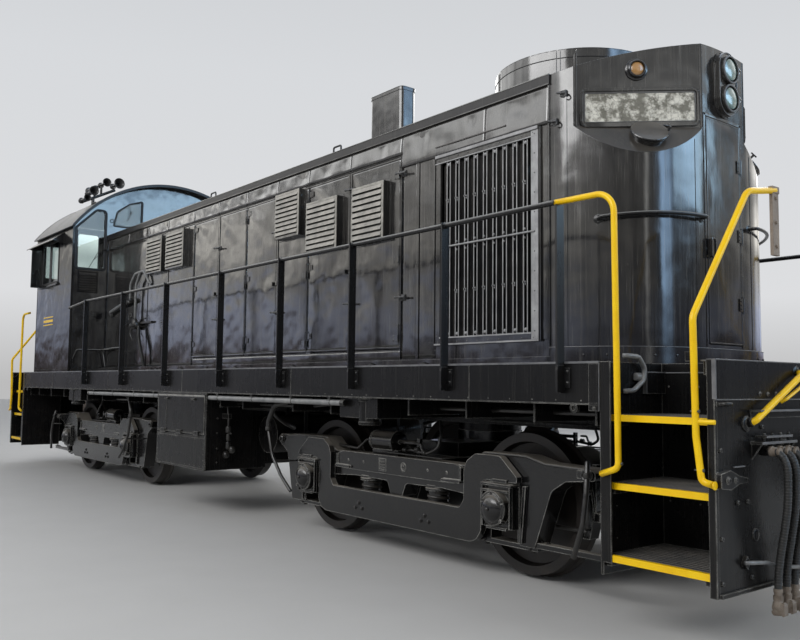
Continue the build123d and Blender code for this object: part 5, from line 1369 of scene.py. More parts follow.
# ---------------------------------------------------------------------------
# Horn: five flared bells on a slanting bar
# ---------------------------------------------------------------------------
BELLS = [(-820, 4412, 1, 82), (-1010, 4398, 1, 66), (-1110, 4330, -1, 62), (-1200, 4240, 1, 72), (-1292, 4120, 1, 54)]
khn = kit("horn_bells", mat="horn", slot="black_paint", bevel=0.0)
HX = -4000.0
rod(khn, (HX, -1130, 4060), (HX, -1130, 4186), 24, 16)
lathe(khn, (HX, -1130, 4062), (0, -0.5, 0.85), [(-14, 62), (8, 60), (12, 40), (20, 30), (20, 0)], 20)
rod(khn, (HX, -800, 4352), (HX, -1290, 4098), 22, 16)
for y, z, d, r in BELLS:
    foot = 4352 - (-800 - y) * 254.0 / 490.0
    if z - foot > 10:
        rod(khn, (HX, y, foot), (HX, y, z), 17, 12)
    L = 240.0
    prof = [(-68, 0), (-68, 26), (-60, 40), (-30, 44), (-16, 44), (-10, 30), (0, 25), (60, 20), (110, 20), (150, 25), (190, 36), (215, 0.62 * r), (232, 0.82 * r),
            (243, r), (247, r), (247, r - 4), (240, 0.8 * r), (222, 0.6 * r), (190, 28), (150, 18), (120, 0)]
    lathe(khn, (HX, y, z), (d, 0, 0), prof, 30)
    for a in range(6):
        aa = a * math.pi / 3
        rivet(khn, (HX - d * 40, y + 44 * math.cos(aa), z + 44 * math.sin(aa)), (0, math.cos(aa), math.sin(aa)), 5)
pipe(khn, [(HX, -1130, 4100), (HX + 60, -1150, 4090), (HX + 240, -1180, 4066), (HX + 330, -1200, 4052)], 8, 8, 30)


# ---------------------------------------------------------------------------
# Trucks (drawn for the front right corner, and mirrored): springs, journal covers, bolts, brake rigging, sand pipes
# ---------------------------------------------------------------------------
TX = 3429.0
for end, sx in (("front", 1.0), ("rear", -1.0)):
    body = f"truck_{end}"
    for side, sy in SIDES:
        flip(sx, sy)
        kt = kit(f"truck_trim_{end}_{side}", body, "truck", "cast_truck", bevel=2.2, segs=2)
        kb = kit(f"truck_bolts_{end}_{side}", body, "truck_bolt", "cast_truck", bevel=0.0)
        # raised middle of the side frame, with the lips of its pocket
        prism(kt, "y", loop([(TX - 800, 664, 26), (TX - 716, 640, 30), (TX + 716, 640, 30), (TX + 800, 664, 26), (TX + 800, 772, 26),
                             (TX + 720, 792, 20), (TX - 720, 792, 20), (TX - 800, 772, 26)], 4), 1068, 1100)
        for d in (-1, 1):
            prism(kt, "y", loop([(TX + d * 806, 650, 10), (TX + d * 600, 650, 10), (TX + d * 600, 672, 10), (TX + d * 806, 676, 10)], 3), 1068, 1124)
            box(kt, TX + d * 800 - 9, TX + d * 800 + 9, 1068, 1112, 668, 766)
            # spring plank ends that show in the window under the frame
            lathe(kt, (TX + d * 430, 996, 559), (0, 0, 1), [(0, 104), (18, 104), (24, 92), (42, 92), (42, 0)], 24)
            lathe(kt, (TX + d * 430, 996, 352), (0, 0, 1), [(-2, 106), (16, 106), (22, 94), (22, 0)], 24)
            ks = kit(f"truck_springs_{end}_{side}", body, "spring", "cast_truck", bevel=0.0)
            coil(ks, (TX + d * 430, 996), 77, 12.5, 384, 548, 4.2, 8, 18)
            # spring seat bolts through the equalizer
            for bx, bz in ((-46, 330), (46, 330), (0, 372)):
                bolt(kb, (TX + d * 430 + bx, 1136, bz), (0, 1, 0), 15, 13)
            # equalizer end: stop lugs and a flame-cut edge
            box(kt, TX + d * 1240 - 70, TX + d * 1240 + 70, 1074, 1150, 700, 724)
            # pedestal jaws: wear strips and their bolts
            for px in (1078, 1360):
                box(kt, TX + d * px - 9, TX + d * px + 9, 1066, 1082, 300 if px > 1200 else 410, 706)
                for z in (330, 430, 530, 630):
                    if z > 410 or px > 1200:
                        bolt(kb, (TX + d * (px + (16 if px > 1200 else -16)), 1074, z), (0, 1, 0), 8, 8, False)
            # pedestal tie: bolted ends
            for px in (1000, 1440):
                bolt(kb, (TX + d * px, 1052, 271), (0, 1, 0), 15, 12)
                rod(kb, (TX + d * px, 1020, 240), (TX + d * px, 1020, 302), 13, 12)
                lathe(kb, (TX + d * px, 1020, 236), (0, 0, 1), [(0, 20), (14, 20), (14, 0)], 6)
            # journal box: cover, rib, bolts, oil lid, hood over the box
            jx = TX + d * 1219.0
            lathe(kt, (jx, 1190, 525), (0, 1, 0), [(0, 116), (9, 114), (12, 104), (16, 92), (26, 88), (38, 76), (48, 56), (54, 30), (56, 0)], 36)
            for i in range(6):
                a = math.radians(60 * i + 30)
                bolt(kb, (jx + 102 * math.cos(a), 1196, 525 + 102 * math.sin(a)), (0, 1, 0), 10, 10, False)
            arc = [(jx + 104 * math.cos(math.radians(a)), 1202, 533 + 108 * math.sin(math.radians(a))) for a in range(18, 163, 12)]
            pipe(kt, arc, 9, 8)
            lathe(kb, (jx, 1244, 525), (0, 1, 0), [(0, 16), (8, 15), (12, 8), (12, 0)], 12)
            prism(kt, "y", loop([(jx - 150, 676, 8), (jx + 150, 676, 8), (jx + 150, 694, 8), (jx - 150, 694, 8)], 2), 1060, 1168)
            prism(kt, "y", loop([(jx - 128, 636, 6), (jx + 128, 636, 6), (jx + 120, 652, 6), (jx - 120, 652, 6)], 2), 1136, 1176)
            box(kt, jx - 138, jx - 126, 1138, 1166, 392, 690)
            box(kt, jx + 126, jx + 138, 1138, 1166, 392, 690)
            for dx, z in ((-112, 414), (112, 414), (-112, 664), (112, 664)):
                bolt(kb, (jx + dx, 1139, z), (0, 1, 0), 13, 12)
            box(kt, jx - 96, jx + 96, 1138, 1160, 378, 396)
            rod(kt, (jx + d * 88, 1168, 436), (jx + d * 88, 1210, 448), 13, 12)
            # stiffening rib that runs down the pedestal
            prism(kt, "y", loop([(TX + d * 1378, 300, 4), (TX + d * 1402, 300, 4), (TX + d * 1440, 690, 4), (TX + d * 1410, 690, 4)], 2), 1068, 1094)
        # edge bead that follows the frame's top
        top = [(TX - 1815, 1070, 876), (TX - 1650, 1070, 876), (TX - 1490, 1070, 890), (TX - 1015, 1070, 890), (TX - 862, 1070, 778), (TX + 862, 1070, 778),
               (TX + 1015, 1070, 890), (TX + 1425, 1070, 890), (TX + 1600, 1070, 850), (TX + 1950, 1070, 842)]
        pipe(kt, top, 11, 8, 70)
        # end eye with a turned collar
        ring(kt, (TX + 1955, 1098, 812), (0, 1, 0), 30, 10, 24, 8)
        box(kt, TX + 1880, TX + 1925, 1068, 1092, 786, 838)
        # knob and lever at the inner end
        lathe(kt, (TX - 1800, 1072, 838), (0, 1, 0), [(0, 40), (18, 38), (26, 28), (26, 0)], 18)
        bolt(kb, (TX - 1800, 1096, 838), (0, 1, 0), 16, 14)
        # foundry marks: a plain square pad and a ring
        frame_ring(kt, "y", [(TX - 205, 664), (TX - 105, 664), (TX - 105, 764), (TX - 205, 764)], -12, 0, 1098, 1104)
        for z in (690, 712, 736):
            box(kt, TX - 186, TX - 122, 1098, 1103, z - 4, z + 4)
        ring(kt, (TX + 120, 1101, 714), (0, 1, 0), 30, 5.5, 24, 6)
        lathe(kt, (TX + 120, 1098, 714), (0, 1, 0), [(0, 14), (5, 12), (5, 0)], 14)
        for x in (-640, -420, 420, 640):
            rivet(kt, (TX + x, 1100, 716), (0, 1, 0), 11)
        # life guard bar from the outer pedestal towards the steps
        prism(kt, "z", [(TX + 1480, 985), (TX + 2170, 1010), (TX + 2170, 1050), (TX + 1480, 1065)], 282, 318)
        box(kt, TX + 2050, TX + 2160, 1004, 1056, 318, 330)
        for x in (1520, 1580, 2080, 2130):
            bolt(kb, (TX + x, 1020 + (x - 1480) * 0.02, 318 if x < 2000 else 330), (0, 0, 1), 12, 10)
        # brake cylinder on the frame, its saddle, lever and pipes
        lathe(kt, (TX - 420, 972, 900), (1, 0, 0), [(0, 60), (8, 84), (20, 88), (34, 88), (34, 80), (300, 80), (300, 90), (322, 90), (330, 70), (336, 30), (336, 0)], 26)
        box(kt, TX - 400, TX - 60, 930, 1016, 778, 830)
        for a in range(6):
            aa = a * math.pi / 3
            bolt(kb, (TX - 84, 972 + 76 * math.cos(aa), 900 + 76 * math.sin(aa)), (1, 0, 0), 8, 8, False)
        rod(kt, (TX - 88, 972, 900), (TX + 170, 972, 900), 17, 12)
        box(kt, TX + 160, TX + 190, 955, 990, 640, 940)
        kp = kit(f"truck_pipes_{end}_{side}", body, "pipe_dull", "coupling_iron", bevel=0.0)
        pipe(kp, [(TX - 420, 985, 900), (TX - 520, 985, 900), (TX - 560, 1000, 860), (TX - 620, 1010, 815), (TX - 900, 1010, 830)], 12, 8, 40)
        pipe(kp, [(TX + 30, 1010, 840), (TX + 150, 1030, 850), (TX + 330, 1030, 832), (TX + 430, 1000, 880), (TX + 420, 960, 990), (TX + 380, 930, 1090)], 13, 10, 60)
        pipe(kp, [(TX + 190, 1036, 905), (TX + 260, 1036, 905), (TX + 272, 1036, 868), (TX + 300, 1036, 838)], 10, 8, 18)
        for x, z in ((60, 846), (210, 858), (300, 838)):
            lathe(kp, (TX + x - 18, 1030, z), (1, 0, 0), [(0, 22), (10, 22), (10, 17), (26, 17), (26, 22), (36, 22), (36, 0)], 8)
        pipe(kp, [(TX - 250, 1034, 812), (TX + 520, 1034, 806)], 8, 8)
        # brake rod and hangers behind the frame
        rod(kp, (TX - 1770, 860, 410), (TX + 1770, 860, 410), 14, 10)
        for d in (-1, 1):
            pipe(kp, [(TX + d * 1780, 850, 430), (TX + d * 1770, 850, 560), (TX + d * 1740, 850, 800)], 20, 8, 60)
            box(kt, TX + d * 1755 - 22, TX + d * 1755 + 22, 800, 900, 780, 830)
            # sand pipe: thicker sleeve above, bent nozzle towards the wheel
            if d < 0:
                pipe(kp, [(TX - 1400, 1255, 1200), (TX - 1600, 1290, 1170), (TX - 1690, 1300, 1010), (TX - 1688, 1300, 930)], 24, 10, 90)
                pipe(kp, [(TX - 1688, 1300, 945), (TX - 1612, 1296, 700), (TX - 1460, 1290, 522), (TX - 1290, 1284, 392)], 16, 10, 160)
                lathe(kp, (TX - 1688, 1300, 925), (0, 0, 1), [(0, 28), (12, 30), (34, 30), (40, 26), (40, 0)], 14)
                rod(kp, (TX - 1560, 1080, 640), (TX - 1580, 1292, 650), 9, 8)
            else:
                pipe(kp, [(TX + 1990, 1120, 900), (TX + 2010, 1160, 700), (TX + 2000, 1180, 520), (TX + 1930, 1190, 300)], 18, 10, 120)
                lathe(kp, (TX + 1998, 1136, 800), (0.05, 0.1, 1), [(0, 24), (6, 27), (30, 27), (36, 24), (36, 0)], 12)
                rod(kp, (TX + 1940, 1040, 690), (TX + 2008, 1160, 692), 9, 8)
flip(1.0, 1.0)

# wheels: rim groove rings and hub rings
for i, x in ((1, 4648.0), (2, 2210.0), (3, -2210.0), (4, -4648.0)):
    kw = kit(f"wheel_trim_{i}", f"wheelset_{i}", "wheel", "wheel_steel", bevel=1.0)
    for sy in (-1, 1):
        lathe(kw, (x, sy * 740, 533), (0, sy, 0), [(0, 150), (90, 150), (94, 140), (94, 100), (94, 0)], 40)
        for a in range(4):
            aa = a * math.pi / 2 + 0.4
            lathe(kw, (x + 290 * math.cos(aa), sy * 748, 533 + 290 * math.sin(aa)), (0, sy, 0), [(0, 26), (6, 26), (8, 20), (8, 0)], 16)

# ---------------------------------------------------------------------------
# Underframe, battery boxes, walkway edges, rail posts
# ---------------------------------------------------------------------------
for side, sy in SIDES:
    flip(1.0, sy)
    kf = kit(f"sill_trim_{side}", mat="frame", slot="frame_black", bevel=1.5)
    ke = kit(f"sill_edges_{side}", mat="deck_edge", slot="frame_black", bevel=0.8)
    box(ke, -5830, 5830, 1518, 1530, 1509, 1522)
    box(kf, -5830, 5830, 1519, 1528, 1270, 1280)
    # sheet behind the step well's corner, with its white-lined edge
    for sx in (-1, 1):
        flip(sx, sy)
        box(kf, 5756, 5832, 1522, 1529, 1236, 1508)
        box(ke, 5828, 5833, 1520, 1530, 1236, 1508)
        bolt(kf, (5795, 1529, 1250), (0, 1, 0), 9, 8)
        lathe(kf, (5640, 1500, 1250), (0, 1, 0), [(0, 30), (20, 30), (24, 24), (24, 14), (8, 12), (8, 0)], 18)
        # jacking pad: plate and bolts
        box(kf, 3340, 3640, 1330, 1500, 1262, 1272)
        lathe(kf, (3489, 1395, 1052), (0, 0, 1), [(0, 70), (6, 92), (26, 96), (34, 90), (34, 0)], 28)
        lathe(kf, (3489, 1395, 1240), (0, 0, 1), [(0, 92), (20, 104), (30, 104), (30, 0)], 28)
    flip(1.0, sy)
    # seams and rivets along the sill
    for x in range(-5700, 5750, 190):
        rivet(kf, (x, 1524, 1294), (0, 1, 0), 5.5)
    for x in (-4300, -1980, 260, 2500, 4760):
        box(kf, x - 3, x + 3, 1522, 1526.5, 1282, 1508)
    # pipe hangers and unions
    for x in (-2500, -1800, -1100, -500, 1100, 1800, 2500, 3100):
        box(kf, x - 14, x + 14, 1470, 1530, 1250, 1272)
        ring(kf, (x, 1500, 1225), (1, 0, 0), 24, 6, 20, 6)
    for x in (-2710, 3270):
        lathe(kf, (x - 26, 1500, 1225), (1, 0, 0), [(0, 20), (2, 30), (52, 30), (54, 20), (54, 0)], 8)
    kpd = kit(f"sill_pipes_{side}", mat="pipe_pale", slot="coupling_iron", bevel=0.0)
    pipe(kpd, [(900, 1503, 1225), (3250, 1503, 1225)], 23.5, 14)
    pipe(kpd, [(-2690, 1503, 1225), (-380, 1503, 1225)], 23.5, 14)
    kpc = kit(f"under_pipes_{side}", mat="pipe_dull", slot="coupling_iron", bevel=0.0)
    pipe(kpc, [(-5600, 1180, 1210), (-4700, 1180, 1210), (-4500, 1120, 1180), (-2900, 1120, 1180), (-2500, 1240, 1150), (-400, 1240, 1150)], 16, 8, 60)
    pipe(kpc, [(900, 1240, 1170), (2350, 1240, 1170), (2600, 1120, 1200), (4500, 1120, 1200), (4800, 1260, 1210), (5780, 1260, 1210)], 16, 8, 60)
    pipe(kpc, [(900, 1120, 1120), (1500, 1120, 1120), (1560, 1120, 1060), (1560, 1000, 980), (1500, 860, 930)], 22, 10, 60)
    # valve cluster behind the battery box
    pipe(kpc, [(905, 1330, 1200), (960, 1330, 1150), (985, 1330, 980), (985, 1330, 700)], 12, 8, 40)
    for z, r_ in ((900, 30), (820, 22), (740, 26)):
        lathe(kpc, (985, 1330, z - 34), (0, 0, 1), [(0, 20), (6, r_), (60, r_), (68, 20), (68, 0)], 12)
    rod(kpc, (985, 1330, 860), (1090, 1350, 865), 10, 8)
    box(kf, 872, 1010, 1310, 1346, 1010, 1060)
    for x, z in ((930, 640), (1060, 700)):
        lathe(kpc, (x, 1300, z), (0, 1, 0), [(0, 30), (10, 36), (40, 36), (50, 22), (50, 0)], 14)
    # battery box: edge frame, cover seams, hinges, latch
    X0, X1 = -350.0, 870.0
    kx = kit(f"battery_trim_{side}", mat="frame", slot="frame_black", bevel=1.2)
    box(kx, X0, X1, 1520, 1527, 808, 822)
    box(kx, X0 - 3, X0 + 20, 1518, 1530, 480, 1268)
    box(kx, X1 - 20, X1 + 3, 1518, 1530, 480, 1268)
    box(kx, X0, X1, 1518, 1530, 478, 496)
    box(kx, X0, X1, 1518, 1534, 1254, 1268)
    for x in range(int(X0) + 60, int(X1), 116):
        rivet(kx, (x, 1532, 516), (0, 1, 0), 6)
        rivet(kx, (x, 1532, 790), (0, 1, 0), 6)
    for z in range(520, 800, 60):
        rivet(kx, (X0 + 34, 1532, z), (0, 1, 0), 6)
        rivet(kx, (X1 - 34, 1532, z), (0, 1, 0), 6)
    for x in (X1 + 3,):
        for z in (560, 700, 860, 1010, 1180):
            bolt(kx, (x, 1400, z), (1, 0, 0), 10, 9, False)
    body = f"battery_door_{side}_body"
    kdr = kit(f"battery_door_trim_{side}", body, "frame", "frame_black", bevel=1.2)
    ksk = kit(f"battery_door_skin_{side}", body, "frame", "frame_black", bevel=0, closed=False)
    skin(ksk, X0 + 26, X1 - 26, 844, 1246, 1535, lift=1.0, pillow=1.5, amp=2.2, size=260, seed=61 if sy < 0 else 62, cell=25)
    box(kdr, X0 + 254, X0 + 258, 1534, 1540, 846, 1244)
    for x in (X0 + 280, X1 - 280):
        lathe(kdr, (x, 1548, 1203), (0, 1, 0), [(0, 10), (12, 9), (12, 0)], 12)
        box(kdr, x - 34, x + 34, 1550, 1560, 1196, 1210)
        for dx in (-22, 22):
            rivet(kdr, (x + dx, 1535, 1228), (0, 1, 0), 5)
    for x in (X0 + 190, (X0 + X1) / 2, X1 - 190):
        rod(kdr, (x - 62, 1546, 832), (x + 62, 1546, 832), 4.5, 8)
        for dx in (-38, 0, 38):
            rivet(kdr, (x + dx, 1552, 859), (0, 1, 0), 5)
    # posts: feet, bolts, and the saddle under the rail
    kp = kit(f"post_trim_{side}", mat="rail", slot="frame_black", bevel=1.0)
    for x in (-2806.0, -1441.0, -142.0, 1194.0, 2352.0, 3450.0, 4546.0, 5573.0):
        prism(kp, "x", loop([(1525, 1336, 8), (1562, 1336, 14), (1594, 1372, 20), (1594, 1470, 14), (1591, 1500, 4), (1525, 1500, 4)], 3), x - 9, x + 9)
        box(kp, x + 7, x + 52, 1524, 1532, 1368, 1484)
        for z in (1392, 1460):
            bolt(kp, (x + 32, 1532, z), (0, 1, 0), 10, 9)
        if x < 5500:
            lathe(kp, (x - 16, 1560, 2480), (1, 0, 0), [(0, 20.5), (3, 22.5), (29, 22.5), (32, 20.5), (32, 0)], 14)
    # pipe saddle at the cab end of the rail
    lathe(kp, (-3532, 1560, 2431), (1, 0.0, 0.04), [(0, 0), (0, 14), (6, 21), (22, 21), (26, 18), (26, 0)], 14)
flip(1.0, 1.0)

# centre sills and cross ties under the deck
flip(1.0, 1.0)
kcs = kit("centre_sills", mat="frame", slot="frame_black", bevel=2.0)
for sx in (-1, 1):
    flip(sx, 1.0)
    for y in (-330, 330):
        box(kcs, 3760, 5760, y - 9, y + 9, 1090, 1512)
        box(kcs, 3760, 5760, y - 70, y + 70, 1078, 1092)
        box(kcs, 600, 3100, y - 9, y + 9, 1090, 1512)
        box(kcs, 600, 3100, y - 70, y + 70, 1078, 1092)
    for x in (4020, 4640, 5260, 5740):
        box(kcs, x - 8, x + 8, -1440, 1440, 1150, 1514)
    for x in (1000, 1480, 2400, 3000):
        box(kcs, x - 8, x + 8, -1440, 1440, 1130, 1514)
flip(1.0, 1.0)

# walkway deck: raised tread pattern along both sides
for side, sy in SIDES:
    flip(1.0, sy)
    kdk = kit(f"walkway_tread_{side}", mat="deck", slot="frame_black", bevel=0.0)
    for i in range(146):
        x = -3560 + 62 * i
        for j, y in enumerate((1060, 1130, 1200, 1270, 1340, 1410, 1480)):
            a = 0.6 if (i + j) % 2 else -0.6
            c, s_ = math.cos(a), math.sin(a)
            xx = x + (31 if j % 2 else 0)
            kdk.add([(xx - 18 * c, y - 18 * s_, 1519.5), (xx + 4 * s_, y - 4 * c, 1519.5), (xx + 18 * c, y + 18 * s_, 1519.5), (xx - 4 * s_, y + 4 * c, 1519.5), (xx, y, 1523.2)],
                    [(0, 1, 4), (1, 2, 4), (2, 3, 4), (3, 0, 4), (3, 2, 1, 0)])
flip(1.0, 1.0)

# pipes, valve and armoured hose on the hood side by the cab
for side, sy in SIDES:
    flip(1.0, sy)
    kv = kit(f"hood_pipes_{side}", mat="pipe_pale", slot="coupling_iron", bevel=0.0)
    kvd = kit(f"hood_valves_{side}", mat="pipe_dull", slot="coupling_iron", bevel=0.8)
    pipe(kv, [(-2560, 1050, 2500), (-2556, 1050, 2730), (-2400, 1050, 2860), (-2300, 1030, 2880), (-2280, 1006, 2880)], 17, 10, 70)
    pipe(kv, [(-2330, 1060, 2150), (-2330, 1060, 2700), (-2180, 1060, 2880), (-2080, 1050, 2860), (-1940, 1030, 2700), (-1920, 1004, 2680)], 17, 10, 80)
    # on the left it starts clear of the open cab door
    near = (-3330, 2330) if sy < 0 else (-3060, 2372)
    pipe(kv, [(near[0], 1008, near[1]), (near[0] + 20, 1050, near[1] + 55), (-2900, 1056, 2456), (-2640, 1056, 2478), (-2560, 1052, 2490)], 22, 12, 60)
    for x, z in ((-2600, 2480), (-2500, 2500)):
        lathe(kvd, (x - 26, 1054, z), (1, 0, 0.05), [(0, 26), (4, 36), (46, 36), (50, 26), (50, 0)], 8)
    lathe(kvd, (-2330, 1060, 2090), (0, 0, 1), [(0, 20), (6, 44), (30, 46), (46, 60), (70, 60), (80, 40), (120, 36), (150, 22), (150, 0)], 18)
    lathe(kvd, (-2430, 1060, 2148), (1, 0, 0), [(0, 30), (6, 42), (36, 42), (44, 26), (200, 26), (206, 42), (236, 42), (240, 24), (240, 0)], 16)
    box(kvd, -2460, -2160, 1002, 1056, 2120, 2138)
    box(kvd, -2200, -1830, 1004, 1040, 2160, 2186)
    rod(kvd, (-2330, 1060, 2240), (-2330, 1128, 2262), 9, 8)
    ring(kvd, (-2330, 1130, 2263), (0, 1, 0.3), 44, 6, 24, 6)
    pipe(kvd, [(-2400, 1080, 2120), (-2410, 1090, 2040), (-2350, 1096, 1990), (-2320, 1084, 1940)], 8, 8, 40)
    # armoured hose: a ribbed tube down to the base strip
    path = round_corners([(-2180, 1062, 2130), (-2150, 1070, 1980), (-2060, 1072, 1800), (-1990, 1060, 1640), (-1985, 1046, 1590)], 150, 6)
    pipe(kvd, path, 20, 10)
    dist = 0.0
    for a, b in zip(path, path[1:]):
        L = (b - a).length
        t = 0.0
        while t < L:
            p = a + (b - a) * (t / L)
            ring(kvd, tuple(p), tuple(b - a), 20, 4.5, 12, 5)
            t += 17.0
    # thin pipe and a tap by the cab front
    if sy < 0:
        pipe(kv, [(-3560, 1010, 1600), (-3560, 1040, 1790), (-3500, 1060, 1850), (-3200, 1052, 1862), (-2980, 1010, 1868)], 8, 8, 40)
    for x, z in ((-2790, 2180), (-1520, 2360), (-1520, 2150)):
        box(kvd, x - 60, x + 60, 1002, 1012, z - 11, z + 11)
        rod(kvd, (x + 40, 1016, z), (x + 90, 1020, z), 8, 8)
    # cast cleats along the base strip
    for x in (-1840, -1650, -900, -200, 500, 1700, 3000, 3700):
        box(kvd, x - 36, x + 36, 1014, 1034, 1524, 1552)
        bolt(kvd, (x, 1024, 1552), (0, 0, 1), 10, 9)
flip(1.0, 1.0)

# ---------------------------------------------------------------------------
# Ends: pilots, steps, rails
# ---------------------------------------------------------------------------
for end, sx in (("front", 1.0), ("rear", -1.0)):
    for side, sy in SIDES:
        flip(sx, sy)
        tag = f"{end}_{side}"
        kp = kit(f"pilot_trim_{tag}", mat="frame", slot="frame_black", bevel=1.6)
        ke = kit(f"pilot_edges_{tag}", mat="deck_edge", slot="frame_black", bevel=0.6)
        # end sill: bright lower edge, deck edge, rivets
        box(ke, 6546, 6553, 0, 1524, 1313, 1318)
        box(ke, 6500, 6553, 0, 1524, 1517, 1523)
        box(ke, 6530, 6553, 1519, 1526, 1318, 1520)
        box(kp, 6540, 6543, 1500, 1524, 334, 1312)
        for y in (1006, 920, 1090, 430, 250):
            bolt(kp, (6550, y, 1345), (1, 0, 0), 10, 9)
        for y, z in ((1324, 790), (1226, 787), (1010, 1228), (1065, 1170), (470, 1210), (470, 640), (1480, 400), (1480, 620), (1480, 1060), (600, 400), (900, 400), (1200, 400)):
            bolt(kp, (6540, y, z), (1, 0, 0), 13, 12, False)
        lathe(kp, (6538, 1152, 611), (1, 0, 0), [(0, 34), (10, 32), (14, 22), (14, 0)], 18)
        # edge stiffener round the coupler opening and down the plate's side
        for y0, y1, z0, z1 in ((330, 352, 690, 1142), (0, 352, 1120, 1142), (0, 352, 668, 690)):
            box(kp, 6534, 6556, y0, y1, z0, z1)
        box(kp, 6538, 6556, 0, 1500, 330, 352)
        # tow hook loop, corner gusset
        pipe(kp, [(6540, 1500, 1292), (6590, 1500, 1296), (6598, 1470, 1296), (6590, 1440, 1292), (6540, 1440, 1288)], 9, 8, 18)
        prism(kp, "x", [(1524, 1518), (1524, 1440), (1500, 1440), (1440, 1500), (1440, 1518)], 6484, 6500)
        box(ke, 6470, 6500, 1440, 1526, 1510, 1518)
        # casting at the corner rail's foot
        prism(kp, "x", loop([(1520, 948, 10), (1430, 962, 12), (1350, 930, 14), (1256, 912, 8), (1256, 892, 8), (1350, 888, 14), (1430, 862, 12), (1520, 872, 10)], 3), 6538, 6572)
        box(ke, 6540, 6552, 1256, 1360, 968, 975)
        bolt(kp, (6572, 1460, 912), (1, 0, 0), 15, 13)
        bolt(kp, (6572, 1390, 910), (1, 0, 0), 12, 11)
        # grab iron's feet
        for y, z in ((1222, 1190), (680, 1466)):
            lathe(kp, (6540, y, z), (1, 0, 0), [(0, 42), (8, 42), (12, 34), (16, 24), (16, 0)], 20)
            for dz in (-30, 30):
                bolt(kp, (6548, y, z + dz), (1, 0, 0), 7, 7, False)
        lathe(kp, (6552, 1222, 1196), (1, 0, 0.2), [(0, 26), (26, 26), (30, 22), (30, 0)], 16)
        # angle across the plate at the grab iron
        box(kp, 6538, 6600, 0, 1180, 1252, 1262)
        box(kp, 6538, 6546, 0, 1180, 1216, 1252)
        box(ke, 6596, 6602, 0, 1180, 1252, 1263)
        # shelf of the hose cocks: edge, gusset, bolts, clamps
        box(ke, 6600, 6606, 804, 1176, 1082, 1096)
        for y in (820, 1165):
            prism(kp, "y", [(6540, 1082), (6600, 1082), (6540, 1000)], y - 6, y + 6)
        box(kp, 6540, 6604, 850, 1130, 1116, 1126)
        box(ke, 6600, 6605, 850, 1130, 1115, 1127)
        for y in (860, 950, 1040, 1120):
            rod(kp, (6585, y, 1072), (6585, y, 1140), 7, 8)
            bolt(kp, (6585, y, 1126), (0, 0, 1), 10, 10, False)
        # uncoupling lever: bracket, bar across to the coupler, handle
        kl = kit(f"uncoupling_lever_{tag}", mat="pipe_pale", slot="coupling_iron", bevel=0.0)
        if sy < 0:
            prism(kp, "x", loop([(1300, 480, 5), (1268, 520, 5), (1236, 480, 5), (1268, 446, 5)], 2), 6538, 6562)
            pipe(kl, [(6562, 1300, 486), (6580, 1268, 486), (6592, 1140, 474), (6600, 980, 432), (6700, 860, 440), (6712, 420, 520), (6700, 200, 600)], 11, 8, 60)
            box(kp, 6538, 6570, 396, 420, 500, 560)
        # rungs and stand-offs of the yellow rails
        ky = kit(f"end_rail_fittings_{tag}", mat="yellow", slot="yellow_paint", bevel=0.6)
        rod(ky, (6456, 1552, 1205), (6500, 1540, 1203), 13, 12)
        rod(ky, (6500, 1540, 1203), (6548, 1530, 1203), 13, 12)
        # clamps and bolts on the rails
        for x, y, z in ((6548, 1544, 890),):
            lathe(ky, (x - 2, y, z), (1, 0, 0), [(0, 22), (6, 22), (6, 0)], 14)
        kc = kit(f"end_rail_bolts_{tag}", mat="hardware", slot="coupling_iron", bevel=0.0)
        for x, y, z, ax in ((5976, 1550, 955, (1, 0, 0)), (6454, 1560, 1255, (1, 0, 0)), (6468, 1552, 960, (1, 0, 0)), (5541, 1572, 2480, (0, 1, 0))):
            rod(kc, (x - 24, y, z) if ax[0] else (x, y - 24, z), (x + 26, y, z) if ax[0] else (x, y + 10, z), 5, 8)
            lathe(kc, (x + 22, y, z) if ax[0] else (x, y + 8, z), ax, [(0, 10), (7, 10), (7, 0)], 6)
        # second thin bar behind the grab iron
        pipe(ky, [(6545, 860, 1300), (6572, 850, 1318), (6572, 480, 1462), (6545, 470, 1470)], 10, 8, 20)
        # hanging bar: brown-grey, with a rolled foot
        kh = kit(f"chain_bar_{tag}", mat="rust_bar", slot="yellow_paint", bevel=1.5)
        box(kh, 6460, 6480, 697, 767, 2137, 2533)
        box(kh, 6456, 6484, 693, 771, 2500, 2540)
        for z in (2190, 2330, 2470):
            bolt(kh, (6480, 732, z), (1, 0, 0), 11, 10)
        # steps: yellow nosings, tread bars, and gusset angles
        for z, ye in ((440, 1508), (835, 1475), (1215, 1455)):
            box(ky, 5853, 6498, ye - 2, ye + 5, z - 33, z + 4)
            box(ky, 5853, 6498, ye - 26, ye + 2, z - 1, z + 3.5)
            kt = kit(f"step_treads_{tag}", mat="deck", slot="frame_black", bevel=0.0)
            for i in range(13):
                y = 990 + (ye - 40 - 990) * i / 12
                box(kt, 5856, 6495, y - 4, y + 4, z - 1, z + 5)
            for i in range(11):
                x = 5880 + 59 * i
                box(kt, x - 3, x + 3, 980, ye - 30, z - 1, z + 2.5)
            box(kp, 5853, 5890, ye - 120, ye - 8, z - 60, z - 32)
            box(kp, 6462, 6498, ye - 120, ye - 8, z - 60, z - 32)
            bolt(kp, (5853, ye - 50, z - 46), (1, 0, 0), 9, 8)
